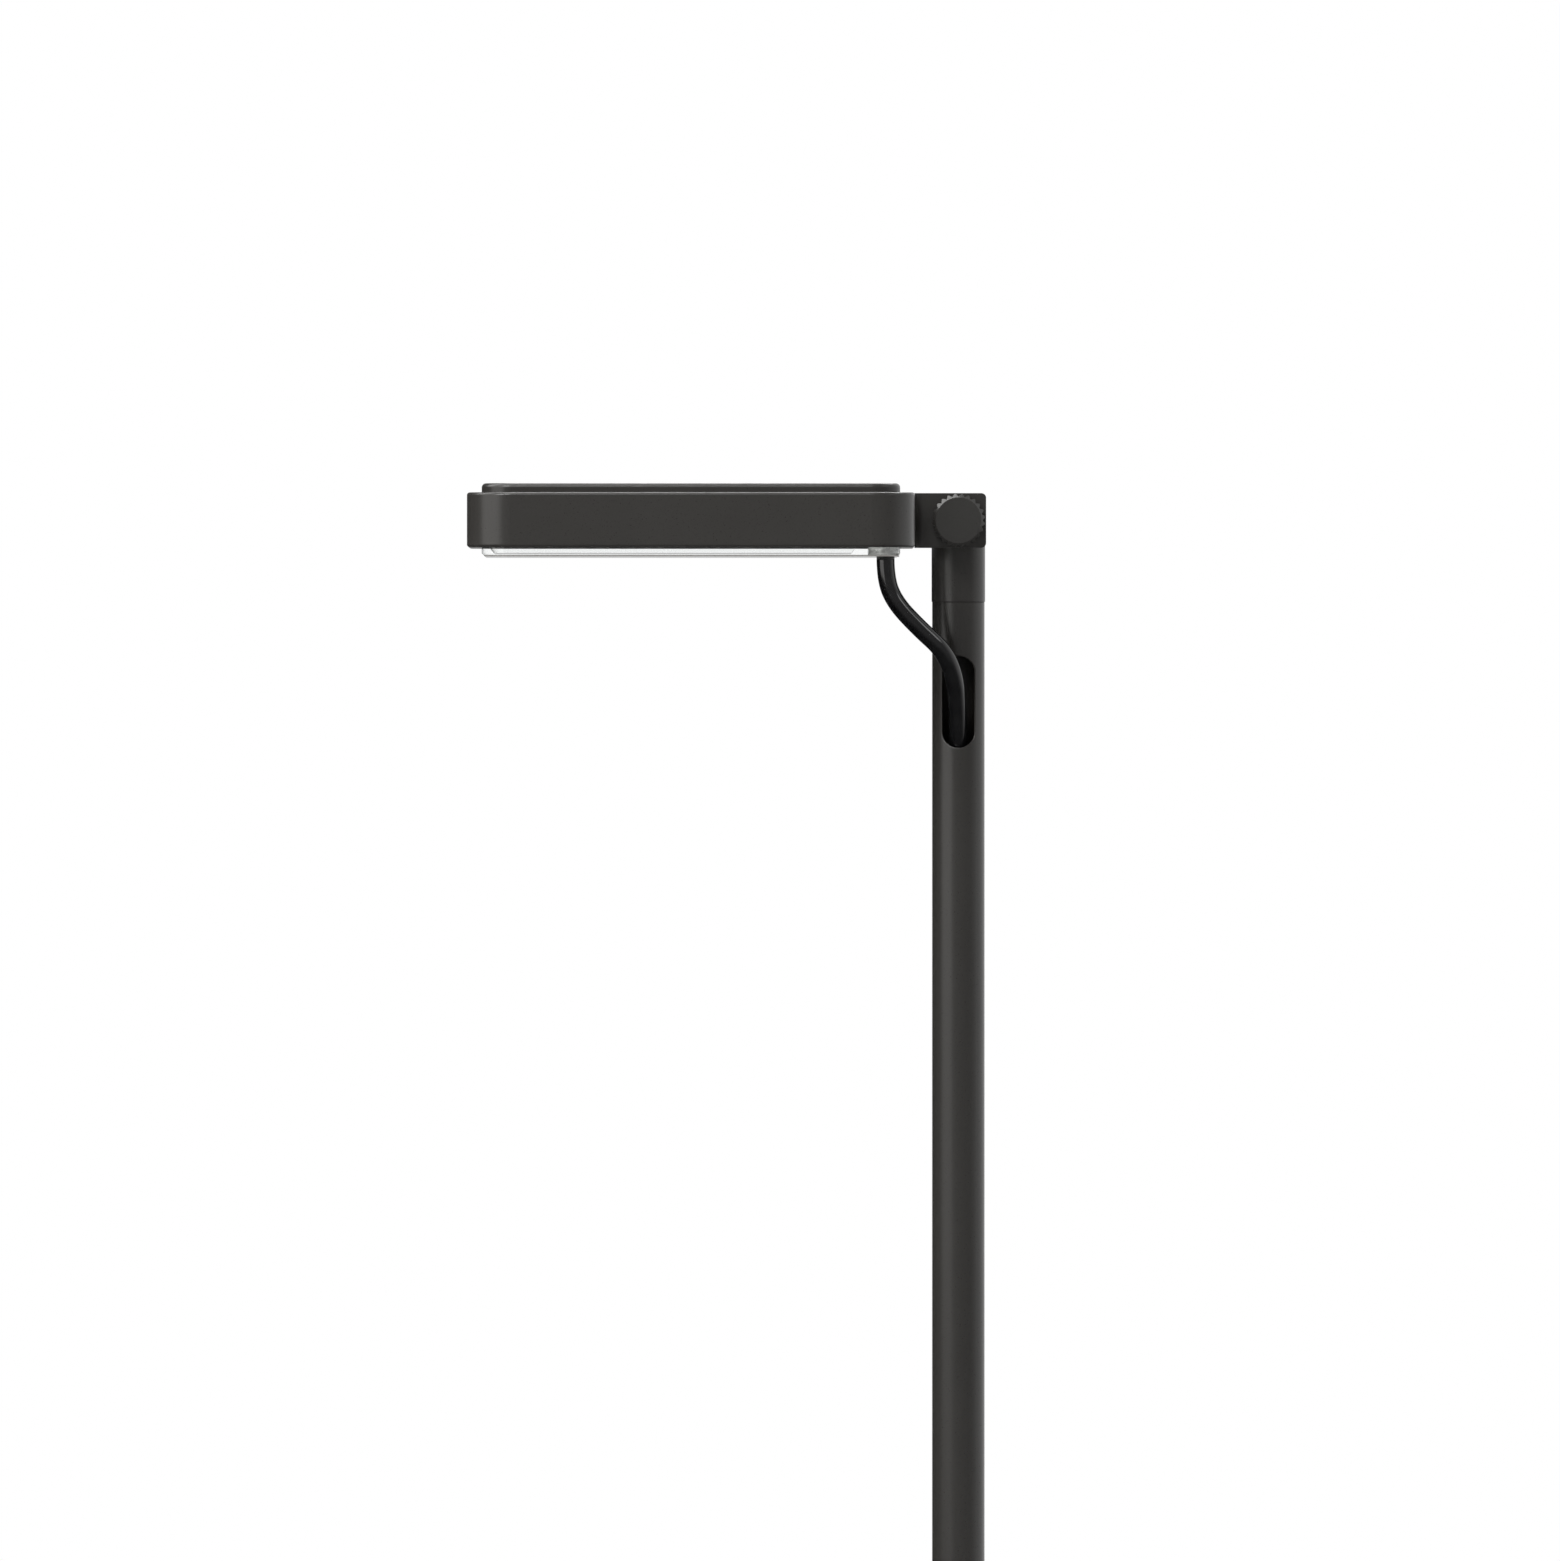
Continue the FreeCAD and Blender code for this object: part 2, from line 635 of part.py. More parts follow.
def make_pivot_bolt():
    radius = number(pivot_radius)
    head = number("dims.pivot_head_diameter / 2")
    rise = number("dims.pivot_head_height")
    rear = number(ear_outer)
    neck_depth = number("dims.ear_thickness")
    front = -number(knob_back) - number("dims.pivot_engagement")
    edge = 0.25 * rise
    dome_radius = (head ** 2 + (rise - edge) ** 2) / (2 * (rise - edge))
    half_angle = math.asin(head / dome_radius) / 2
    shoulder = Vector(dome_radius * math.sin(half_angle), 0, rise - dome_radius * (1 - math.cos(half_angle)))
    crown = Part.Arc(Vector(head, 0, edge), shoulder, Vector(0, 0, rise)).toShape()
    outer = Part.makePolygon([Vector(0, 0, rise), Vector(0, 0, 0), Vector(head, 0, 0), Vector(head, 0, edge)])
    dome = Part.Face(Part.Wire(outer.Edges + [crown])).revolve(Vector(), Vector(0, 0, 1), 360)
    half = number("%s + dims.press_gap" % pivot_radius)
    neck = Part.makeBox(2 * half, 2 * half, neck_depth, Vector(-half, -half, -neck_depth))
    tip = 0.15 * radius
    end = front - rear
    shank = turned([(0, end), (radius - tip, end), (radius, end + tip), (radius, 0), (0, 0)])
    bolt = dome.fuse([neck, shank]).removeSplitter()
    return group("pivot_bolt", [moved(bolt.Solids[0], Vector(0, rear, 0), Rotation(Vector(1, 0, 0), -90))],
                 z=hinge_level)


def make_hinge_bushes():
    inner = number("%s + dims.running_gap" % pivot_radius)
    outer = number("dims.bush_diameter / 2")
    flange = number("dims.bush_flange_diameter / 2")
    seat = number("dims.flat_spacing / 2")
    face = number("%s - dims.face_gap" % ear_inner)
    tail = seat - number("dims.bush_length")
    bush = turned([(inner, tail), (outer, tail), (outer, seat), (flange, seat), (flange, face), (inner, face)])
    turns = (Rotation(Vector(1, 0, 0), -90), along_minus_y)
    return group("hinge_bushes", [moved(bush, Vector(), turn) for turn in turns], z=hinge_level)


def make_thrust_washer():
    ring = cylinder("washer_disc", "dims.washer_diameter / 2", "dims.washer_thickness",
                    y="-%s - dims.face_gap" % ear_outer, z=hinge_level, rotation=along_minus_y)
    hole = cylinder("washer_hole", "%s + dims.slip_gap" % pivot_radius, "2 * " + knob_front, z=hinge_level,
                    rotation=along_minus_y)
    return cut("thrust_washer", ring, hole)


def make_clamp_knob():
    body = new_body("clamp_knob")
    tip = "(dims.knob_diameter / 2)"
    face = "(dims.knob_face_diameter / 2)"
    bevel = "(dims.knob_depth - dims.knob_bevel_depth)"
    bore = "(dims.knob_insert_diameter / 2)"
    back_bevel = "(dims.knob_tooth_depth / 2)"
    profile = new_sketch(body, "XZ_Plane", "knob_profile")
    outline(profile, [(bore, "0"), ("%s - %s" % (tip, back_bevel), "0"), (tip, back_bevel), (tip, bevel),
                      (face, "dims.knob_depth"), ("0", "dims.knob_depth"), ("0", "dims.knob_insert_length"),
                      (bore, "dims.knob_insert_length")])
    revolve(body, profile)
    tooth = new_sketch(body, "XY_Plane", "knob_groove")
    root = "(%s - dims.knob_tooth_depth)" % tip
    wide = "(%s + dims.knob_tooth_depth / 4)" % tip
    half = "(%s * tan(180 / dims.knob_teeth))" % wide
    outline(tooth, [(root, "0"), (wide, "-" + half), (wide, half)])
    groove = pocket(body, tooth, "dims.knob_depth", up=True)
    ring = body.newObject("PartDesign::PolarPattern", "knob_grooves")
    ring.Originals = [groove]
    ring.Axis = (tooth, ["N_Axis"])
    ring.Angle = 360
    bind(ring, Occurrences="dims.knob_teeth")
    body.Tip = ring
    return place(body, y="-" + knob_back, z=hinge_level, rotation=along_minus_y)


def make_knob_insert():
    sleeve = cylinder("insert_sleeve", "dims.knob_insert_diameter / 2", "dims.knob_insert_length",
                      y="-" + knob_back, z=hinge_level, rotation=along_minus_y)
    hole = cylinder("insert_bore", "%s + dims.running_gap" % pivot_radius, "2 * " + knob_front, z=hinge_level,
                    rotation=along_minus_y)
    return cut("knob_insert", sleeve, hole)


# Head: pieces are drawn about the head's middle and placed with it.

def in_head(item):
    return place(item, x=head_middle, z=hinge_level)


def cover_screw_spots():
    edge = "(%s - dims.cover_screw_inset)" % half_head
    side = "(%s - dims.cover_screw_from_end)" % half_head
    spots = []
    for a in ("", "-"):
        for b in ("", "-"):
            spots.append((a + edge, b + side))
            spots.append((b + side, a + edge))
    return spots


def screw_circles(sketch, spots, radius):
    for x, y in spots:
        circle(sketch, x, y, radius)


def make_head_frame():
    body = new_body("frame_blank")
    shell = new_sketch(body, "XY_Plane", "frame_outline")
    rounded_square(shell, "0")
    pad(body, shell, "dims.head_height", middle=True)
    opening = new_sketch(body, "XY_Plane", "frame_opening")
    rounded_square(opening, "dims.ledge_reach")
    pocket(body, opening, "2 * dims.head_height", middle=True)
    rim = "(dims.panel_inset - dims.panel_gap)"
    upper = new_sketch(body, "XY_Plane", "cover_recess", ledge_face)
    rounded_square(upper, rim)
    pocket(body, upper, "dims.head_height", up=True)
    lower = new_sketch(body, "XY_Plane", "lens_recess", "-" + ledge_face)
    rounded_square(lower, rim)
    pocket(body, lower, "dims.head_height")
    hollow = new_sketch(body, "XY_Plane", "frame_hollow")
    rounded_square(hollow, "dims.frame_wall")
    pocket(body, hollow, "2 * " + ledge_back, middle=True)
    reach = number(half_head)
    levels = (number(half_height), -number(half_height))
    corner = number("%s - dims.head_corner * (1 - sqrt(0.5))" % half_head)

    def outer_edge(edge):
        middle = edge.valueAt((edge.FirstParameter + edge.LastParameter) / 2)
        on_side = max(abs(middle.x), abs(middle.y)) > reach - 1e-3
        curved = edge.Curve.TypeId == "Part::GeomCircle"
        on_corner = curved and min(abs(middle.x), abs(middle.y)) > corner - 1e-3
        return any(at_level(edge, level) for level in levels) and (on_side or on_corner)

    dress(body, "PartDesign::Fillet", outer_edge, Radius="dims.head_edge_round")
    bosses = new_sketch(body, "XY_Plane", "frame_bosses", ledge_back)
    screw_circles(bosses, cover_screw_spots(), "dims.screw_boss_diameter / 2")
    pad(body, bosses, "dims.screw_boss_height", down=True)
    taps = new_sketch(body, "XY_Plane", "frame_taps", ledge_face)
    screw_circles(taps, cover_screw_spots(), "dims.cover_screw_diameter / 2 + dims.press_gap")
    pocket(body, taps, "dims.ledge_thickness + dims.screw_boss_height")
    tray_taps = new_sketch(body, "XY_Plane", "tray_taps", "-" + ledge_back)
    screw_circles(tray_taps, tray_screw_spots(), "dims.tray_screw_diameter / 2 + dims.press_gap")
    pocket(body, tray_taps, "dims.ledge_thickness")
    notch = new_sketch(body, "XY_Plane", "frame_notch", "-" + ledge_back)
    gland_notch(notch, "dims.panel_gap", "%s - dims.panel_inset + dims.panel_gap" % half_head)
    pocket(body, notch, "dims.ledge_thickness")
    holes = new_sketch(body, "YZ_Plane", "arm_screw_holes", half_head)
    screw_circles(holes, [(arm_screw_y, "dims.arm_screw_raise"), ("-" + arm_screw_y, "dims.arm_screw_raise")],
                  "dims.arm_screw_diameter / 2 + dims.press_gap")
    pocket(body, holes, "2 * dims.frame_wall")
    body.Label = "head_frame"
    return in_head(body)


def make_top_cover():
    body = new_body("top_cover")
    shell = new_sketch(body, "XY_Plane", "cover_outline", panel_seat)
    rounded_square(shell, "dims.panel_inset")
    pad(body, shell, "%s - %s" % (cover_top, panel_seat))
    top = number(cover_top)
    dress(body, "PartDesign::Fillet", lambda edge: at_level(edge, top), Radius="dims.cover_edge_round")
    hollow = new_sketch(body, "XY_Plane", "cover_hollow", panel_seat)
    rounded_square(hollow, "dims.ledge_reach")
    pocket(body, hollow, "%s - %s" % (cover_inside, panel_seat), up=True)
    holes = new_sketch(body, "XY_Plane", "cover_holes", cover_top)
    screw_circles(holes, cover_screw_spots(), "dims.cover_screw_diameter / 2 + dims.slip_gap")
    pocket(body, holes, "%s - %s" % (cover_top, panel_seat))
    sinks = new_sketch(body, "XY_Plane", "cover_sinks", cover_top)
    sink_radius = "dims.cover_screw_head / 2 + dims.cover_screw_rim + dims.slip_gap"
    sink_depth = "(dims.cover_screw_head - dims.cover_screw_diameter) / 2 + dims.cover_screw_rim"
    screw_circles(sinks, cover_screw_spots(), sink_radius)
    pocket(body, sinks, sink_depth, taper="-45")
    taps = new_sketch(body, "XY_Plane", "cover_taps", cover_inside)
    screw_circles(taps, optic_screw_spots(), "dims.optic_screw_diameter / 2 + dims.press_gap")
    pocket(body, taps, "dims.optic_screw_bite + dims.slip_gap", up=True)
    return in_head(body)


def gasket(name, level, holes):
    body = new_body(name)
    ring = new_sketch(body, "XY_Plane", name + "_ring", level)
    rounded_square(ring, "(dims.panel_inset + dims.gasket_margin)")
    rounded_square(ring, "(dims.ledge_reach - dims.gasket_margin)")
    pad(body, ring, "dims.gasket_thickness")
    if holes:
        punched = new_sketch(body, "XY_Plane", name + "_holes", level)
        screw_circles(punched, cover_screw_spots(), "dims.cover_screw_diameter / 2 + dims.slip_gap")
        pocket(body, punched, "dims.gasket_thickness", up=True)
    else:
        notch = new_sketch(body, "XY_Plane", name + "_notch", level)
        gland_notch(notch, "dims.panel_gap", half_head)
        pocket(body, notch, "dims.gasket_thickness", up=True)
    return in_head(body)


def make_cover_screws():
    radius = number("dims.cover_screw_diameter / 2")
    head = number("dims.cover_screw_head / 2")
    length = number("dims.cover_screw_length")
    rim = number("dims.cover_screw_rim")
    blank = turned([(0, -length), (radius, -length), (radius, radius - head - rim), (head, -rim), (head, 0),
                    (0, 0)])
    recess = 0.45 * head
    key = turned([(0, -recess), (recess, -recess), (recess, recess), (0, recess)])
    screw = blank.cut(key)
    solids = [moved(screw, Vector(number(x), number(y), number(cover_top))) for x, y in cover_screw_spots()]
    return group("cover_screws", solids, head_middle, "0", hinge_level)


def make_lens():
    body = new_body("lens")
    plate = new_sketch(body, "XY_Plane", "lens_outline", lens_bottom)
    rounded_square(plate, "dims.panel_inset")
    pad(body, plate, "-%s - %s" % (panel_seat, lens_bottom))
    bottom = number(lens_bottom)
    dress(body, "PartDesign::Chamfer", lambda edge: at_level(edge, bottom), Size="dims.lens_chamfer")
    hollow = new_sketch(body, "XY_Plane", "lens_hollow", "-" + panel_seat)
    edge = "(%s - dims.panel_inset - dims.lens_wall)" % half_head
    bend = "(%s - dims.head_corner)" % half_head
    end = "(%s - dims.lens_window_end + dims.panel_inset)" % half_head
    outline(hollow, [(end, "-" + edge), (end, edge), ("-" + bend, edge), ("-" + edge, bend, "-" + bend, bend),
                     ("-" + edge, "-" + bend), ("-" + bend, "-" + edge, "-" + bend, "-" + bend)])
    pocket(body, hollow, "-%s - %s" % (panel_seat, window_top), taper="-dims.lens_draft")
    notch = new_sketch(body, "XY_Plane", "lens_notch", lens_bottom)
    gland_notch(notch, "dims.panel_gap", half_head)
    pocket(body, notch, "dims.head_height", up=True)
    return in_head(body)


# Light source: board under the cover, one chip per cup, a moulded reflector and the screws that hold both.

def optic_screw_spots():
    far = "(%s * floor(dims.led_rows / 2 - 1))" % led_pitch
    spots = []
    for x in ("-", ""):
        for y in ("-", ""):
            spots.append(("(%s + (%s%s))" % (optic_x, x, far), "(%s%s)" % (y, far)))
    return spots


def make_led_board():
    body = new_body("led_board")
    plate = new_sketch(body, "XY_Plane", "board_outline", board_bottom)
    half = "(%s / 2)" % optic_size
    rectangle(plate, "%s - %s" % (optic_x, half), "-" + half, "%s + %s" % (optic_x, half), half)
    screw_circles(plate, optic_screw_spots(), "dims.optic_screw_diameter / 2 + dims.slip_gap")
    pad(body, plate, "dims.board_thickness")
    return in_head(body)


def cup_spots():
    rows = int(round(number("dims.led_rows")))
    pitch = number(led_pitch)
    middle = number(optic_x)
    steps = [pitch * (index - (rows - 1) / 2) for index in range(rows)]
    return [(middle + x, y) for x in steps for y in steps]


def make_led_chips():
    size = number("dims.led_size")
    height = number("dims.led_height")
    level = number(board_bottom) - height
    chips = [Part.makeBox(size, size, height, Vector(x - size / 2, y - size / 2, level))
             for x, y in cup_spots()]
    return group("led_chips", chips, head_middle, "0", hinge_level)


def make_reflector():
    body = new_body("reflector")
    plate = new_sketch(body, "XY_Plane", "reflector_plate", reflector_bottom)
    half = "(%s / 2)" % optic_size
    rectangle(plate, "%s - %s" % (optic_x, half), "-" + half, "%s + %s" % (optic_x, half), half)
    pad(body, plate, "dims.reflector_plate")
    posts = new_sketch(body, "XY_Plane", "reflector_posts", reflector_bottom)
    screw_circles(posts, optic_screw_spots(), "dims.optic_post_diameter / 2")
    pad(body, posts, "%s - %s" % (reflector_top, reflector_bottom))
    first_x = "(%s - %s + %s / 2)" % (optic_x, half, led_pitch)
    first_y = "(-%s + %s / 2)" % (half, led_pitch)
    depth = "(%s - %s)" % (reflector_top, reflector_bottom)
    slope = "atan((%s - dims.reflector_throat) / 2 / %s)" % (cup_mouth, depth)
    cup = new_sketch(body, "XY_Plane", "cup_outside", reflector_bottom)
    circle(cup, first_x, first_y, "%s / 2 + dims.reflector_wall" % cup_mouth)
    outer = pad(body, cup, depth)
    bind(outer, TaperAngle="-" + slope)
    grid(body, outer, cup, "cups_outside")
    bowl = new_sketch(body, "XY_Plane", "cup_inside", reflector_bottom)
    circle(bowl, first_x, first_y, "%s / 2" % cup_mouth)
    inner = pocket(body, bowl, depth, up=True, taper="-" + slope)
    grid(body, inner, bowl, "cups_inside")
    holes = new_sketch(body, "XY_Plane", "reflector_holes", reflector_bottom)
    screw_circles(holes, optic_screw_spots(), "dims.optic_screw_diameter / 2 + dims.slip_gap")
    pocket(body, holes, depth, up=True)
    return in_head(body)


def grid(body, feature, sketch, name):
    """Repeats a feature over the board's square grid."""
    pattern = body.newObject("PartDesign::LinearPattern", name)
    pattern.Originals = [feature]
    pattern.Direction = (sketch, ["H_Axis"])
    pattern.Direction2 = (sketch, ["V_Axis"])
    span = "%s * (dims.led_rows - 1)" % led_pitch
    bind(pattern, Occurrences="dims.led_rows", Occurrences2="dims.led_rows", Length=span, Length2=span)
    body.Tip = pattern
    return pattern


def make_optic_screws():
    reach = number("%s - %s + dims.board_thickness + dims.slip_gap + dims.optic_screw_bite"
                   % (reflector_top, reflector_bottom))
    screw = pan_screw(number("dims.optic_screw_diameter / 2"), reach, number("dims.optic_screw_head / 2"),
                      number("dims.optic_screw_head_height"))
    level = number(reflector_bottom)
    solids = [moved(screw, Vector(number(x), number(y), level), Rotation(Vector(1, 0, 0), 180))
              for x, y in optic_screw_spots()]
    return group("optic_screws", solids, head_middle, "0", hinge_level)


# Connection strip beside the light source: tray on the lower ledge, driver, terminals, gland and clamp.

def tray_screw_spots():
    end = "(%s - (dims.frame_wall + dims.ledge_reach) / 2)" % half_head
    near = "(%s + dims.tray_screw_head)" % gear_left
    far = "(%s - dims.head_corner + dims.tray_screw_diameter)" % half_head
    return [(x, sign + end) for x in (near, far) for sign in ("", "-")]


def make_gear_tray():
    plan = new_body("tray_plan")
    shell = new_sketch(plan, "XY_Plane", "tray_outline", "-" + ledge_back)
    rounded_square(shell, "(dims.frame_wall + dims.panel_gap)")
    holes = new_sketch(plan, "XY_Plane", "tray_holes", tray_top)
    screw_circles(holes, tray_screw_spots(), "dims.tray_screw_diameter / 2 + dims.slip_gap")
    screw_circles(holes, clamp_screw_spots(), "dims.tray_screw_diameter / 2 + dims.press_gap")
    notch = new_sketch(plan, "XY_Plane", "tray_notch", tray_top)
    gland_notch(notch, "dims.panel_gap", "%s - dims.panel_inset + dims.panel_gap" % half_head)
    pad(plan, shell, "dims.tray_thickness")
    pocket(plan, holes, "dims.tray_thickness")
    pocket(plan, notch, "dims.tray_thickness")
    left = "(%s + dims.gear_clearance)" % optic_right
    end = "(%s - dims.gear_clearance)" % boss_inside
    strip = box("tray_strip", (left, "dims.head_size"), ("-dims.head_size", "dims.head_size"),
                ("-dims.head_height", "dims.head_height"))
    floor = doc.addObject("Part::Common", "tray_floor")
    floor.Base = plan
    floor.Tool = strip
    lip = box("tray_lip_wall", (left, "%s + dims.tray_thickness" % left), ("-" + end, end),
              ("-" + ledge_back, "%s + dims.tray_lip" % tray_top))
    return in_head(joined("Part::MultiFuse", "gear_tray", [floor, lip]))


def make_tray_screws():
    screw = pan_screw(number("dims.tray_screw_diameter / 2"),
                      number("dims.tray_thickness + dims.ledge_thickness - dims.slip_gap"),
                      number("dims.tray_screw_head / 2"), number("dims.tray_screw_head_height"))
    solids = [moved(screw, Vector(number(x), number(y), number(tray_top))) for x, y in tray_screw_spots()]
    return group("tray_screws", solids, head_middle, "0", hinge_level)


def make_driver():
    body = new_body("driver")
    case = new_sketch(body, "XY_Plane", "driver_outline", tray_top)
    rectangle(case, gear_left, "dims.driver_start", "%s - dims.gear_clearance" % boss_inside,
              "%s - dims.driver_from_side" % half_head)
    pad(body, case, "dims.driver_height")
    floor = number(tray_top)
    dress(body, "PartDesign::Chamfer", lambda edge: edge.BoundBox.ZMax > floor + 1e-3, Size="dims.driver_edge")
    return in_head(body)


def terminal_rows():
    low = "(-dims.terminal_start)"
    return ["(%s + dims.terminal_length * %d / 6)" % (low, step) for step in (1, 3, 5)]


def make_terminal_block():
    body = new_body("terminal_block")
    block = new_sketch(body, "XY_Plane", "terminal_outline", tray_top)
    right = "(%s + dims.terminal_width)" % gear_left
    rectangle(block, gear_left, "-dims.terminal_start", right, "-dims.terminal_start + dims.terminal_length")
    pad(body, block, "dims.terminal_height")
    wells = new_sketch(body, "XY_Plane", "terminal_wells", "%s + dims.terminal_height" % tray_top)
    for row in terminal_rows():
        circle(wells, "(%s + %s) / 2" % (gear_left, right), row, "dims.terminal_length / 12")
    pocket(body, wells, "dims.terminal_height / 3")
    return in_head(body)


def make_cable_gland():
    body = new_body("gland_blank")
    right = "(%s - dims.panel_inset - dims.panel_gap)" % half_head
    stem = new_sketch(body, "XY_Plane", "gland_stem", lens_bottom)
    gland_notch(stem, "0", right)
    pad(body, stem, "%s - %s" % (tray_top, lens_bottom))
    flange = new_sketch(body, "XY_Plane", "gland_flange", tray_top)
    gland_notch(flange, "dims.gland_flange", right)
    pad(body, flange, "dims.gland_flange_height")
    bore = new_sketch(body, "XY_Plane", "gland_bore", lens_bottom)
    circle(bore, lead_x, lead_y, lead_radius)
    pocket(body, bore, "dims.head_height", up=True)
    body.Label = "cable_gland"
    return in_head(body)


def clamp_screw_spots():
    return [(lead_x, "(%s + dims.clamp_screw_spacing / 2)" % lead_y),
            (lead_x, "(%s - dims.clamp_screw_spacing / 2)" % lead_y)]


def make_gland_clamp():
    """A bridge over the gland's flange, with a foot at each end and a hole for the lead."""
    body = new_body("gland_clamp")
    half = "(dims.clamp_length / 2)"
    foot = "(dims.gland_radius + dims.gland_flange + dims.panel_gap)"
    low = tray_top
    inside = "(%s + dims.gland_flange_height)" % low
    high = "(%s + dims.clamp_thickness)" % inside
    side = new_sketch(body, "YZ_Plane", "clamp_side", "%s - dims.clamp_width / 2" % lead_x)

    def y(offset):
        return "(%s + (%s))" % (lead_y, offset)

    outline(side, [(y("-" + half), high), (y("-" + half), low), (y("-" + foot), low), (y("-" + foot), inside),
                   (y(foot), inside), (y(foot), low), (y(half), low), (y(half), high)])
    pad(body, side, "dims.clamp_width")
    holes = new_sketch(body, "XY_Plane", "clamp_holes", high)
    screw_circles(holes, clamp_screw_spots(), "dims.tray_screw_diameter / 2 + dims.slip_gap")
    circle(holes, lead_x, lead_y, "%s + dims.slip_gap" % lead_radius)
    pocket(body, holes, "dims.head_height")
    return in_head(body)


def make_clamp_screws():
    stack = number("dims.gland_flange_height + dims.clamp_thickness")
    reach = stack + number("dims.tray_thickness - dims.slip_gap")
    screw = pan_screw(number("dims.tray_screw_diameter / 2"), reach, number("dims.tray_screw_head / 2"),
                      number("dims.tray_screw_head_height"))
    level = number(tray_top) + stack
    solids = [moved(screw, Vector(number(x), number(y), level)) for x, y in clamp_screw_spots()]
    return group("gland_clamp_screws", solids, head_middle, "0", hinge_level)


# Lead: a stub and cores inside the head, a free stretch down to the slot, and a straight run inside the post.

def make_lead_in_head():
    top = "(%s + dims.gland_flange_height + dims.clamp_thickness + dims.lead_stub_height)" % tray_top
    stub = cylinder("lead_in_head", lead_radius, "%s - %s" % (top, lens_bottom))
    return place(stub, "%s + %s" % (head_middle, lead_x), lead_y, "%s + %s" % (hinge_level, lens_bottom))


def make_lead_cores():
    """Three cores from the jacket's end to the terminals."""
    radius = number("dims.core_diameter / 2")
    spread = number("dims.core_circle / 2")
    level = number("%s + dims.gland_flange_height + dims.clamp_thickness + dims.lead_stub_height" % tray_top)
    rise = number("dims.core_rise")
    sweep = 0.7 * rise
    aside = 0.6 * rise
    highest = 1.2 * rise
    layer = 0.46 * rise
    right = number("%s + dims.terminal_width" % gear_left)
    entry = number("%s + dims.terminal_height / 3" % tray_top)
    centre = Vector(number(lead_x), number(lead_y), level)
    tubes = []
    for index, row in enumerate(terminal_rows()):
        angle = math.radians(-150 + 120 * index)
        start = centre + Vector(spread * math.cos(angle), spread * math.sin(angle), 0)
        end = Vector(right, number(row), entry)
        beside = end + Vector(sweep, 0, 0)
        up = start + Vector(0, 0, rise / 4)
        # The farthest terminal's core lies on top.
        lift = start + Vector(-sweep, -aside, highest - layer * index)
        over = Vector(beside.x, (lift.y + 2 * beside.y) / 3, lift.z)
        tubes.append(round_tube([start, up, lift, over, beside, end], radius)[0])
    return group("lead_cores", tubes, head_middle, "0", hinge_level)


# Points of the free stretch, from the hinge axis: (x, y, z).
lead_route = [(-30.6, -19.0, -15.35), (-30.6, -19.0, -24.5), (-26.6, -19.2, -34.5), (-16.6, -19.6, -45.2),
              (-6.4, -18.6, -54.4), (-1.6, -14.6, -65.0), (-0.5, -8.8, -78.0), (0.0, -4.2, -94.0),
              (0.0, 0.0, -112.0), (0.0, 0.0, -128.0)]


def make_lamp_lead():
    radius = number(lead_radius)
    solid, length, radii = round_tube([Vector(*point) for point in lead_route], radius)
    print("lamp_lead length %.1f, radii %s" % (length, " ".join("%.0f" % value for value in radii)))
    print("lamp_lead volume %.1f, section times length %.1f" % (solid.Volume, math.pi * radius ** 2 * length))
    return group("lamp_lead", [solid], z=hinge_level)


plug_foot = "(%s + dims.socket_length)" % spigot_top
plug_top = "(%s + dims.plug_length)" % plug_foot


def make_lead_in_post():
    end = "(%s + %f)" % (hinge_level, lead_route[-1][2])
    return cylinder("lead_in_post", lead_radius, "%s - %s" % (end, plug_top), z=plug_top)


def make_lead_plug():
    """Coupling nut with a tapered strain relief, screwed on the socket in the foot."""
    body = new_body("lead_plug")
    radius = "(dims.plug_diameter / 2)"
    neck = "(dims.plug_length - dims.plug_neck)"
    slim = "(%s + dims.tube_wall / 2)" % lead_radius
    profile = new_sketch(body, "XZ_Plane", "plug_profile")
    outline(profile, [(radius, "0"), (radius, neck), (slim, "dims.plug_length"), ("0", "dims.plug_length"),
                      ("0", "0")])
    revolve(body, profile)
    return place(body, z=plug_foot)


def make_base_socket():
    body = new_body("base_socket")
    radius = "(dims.socket_diameter / 2)"
    flange = "(dims.plug_diameter / 2)"
    lip = "(dims.socket_length / 4)"
    pin_bore = "(dims.supply_bore / 4)"
    profile = new_sketch(body, "XZ_Plane", "socket_profile")
    outline(profile, [(flange, "0"), (flange, lip), (radius, lip), (radius, "dims.socket_length"),
                      ("0", "dims.socket_length"), ("0", lip), (pin_bore, lip), (pin_bore, "0")])
    revolve(body, profile)
    return place(body, z=spigot_top)


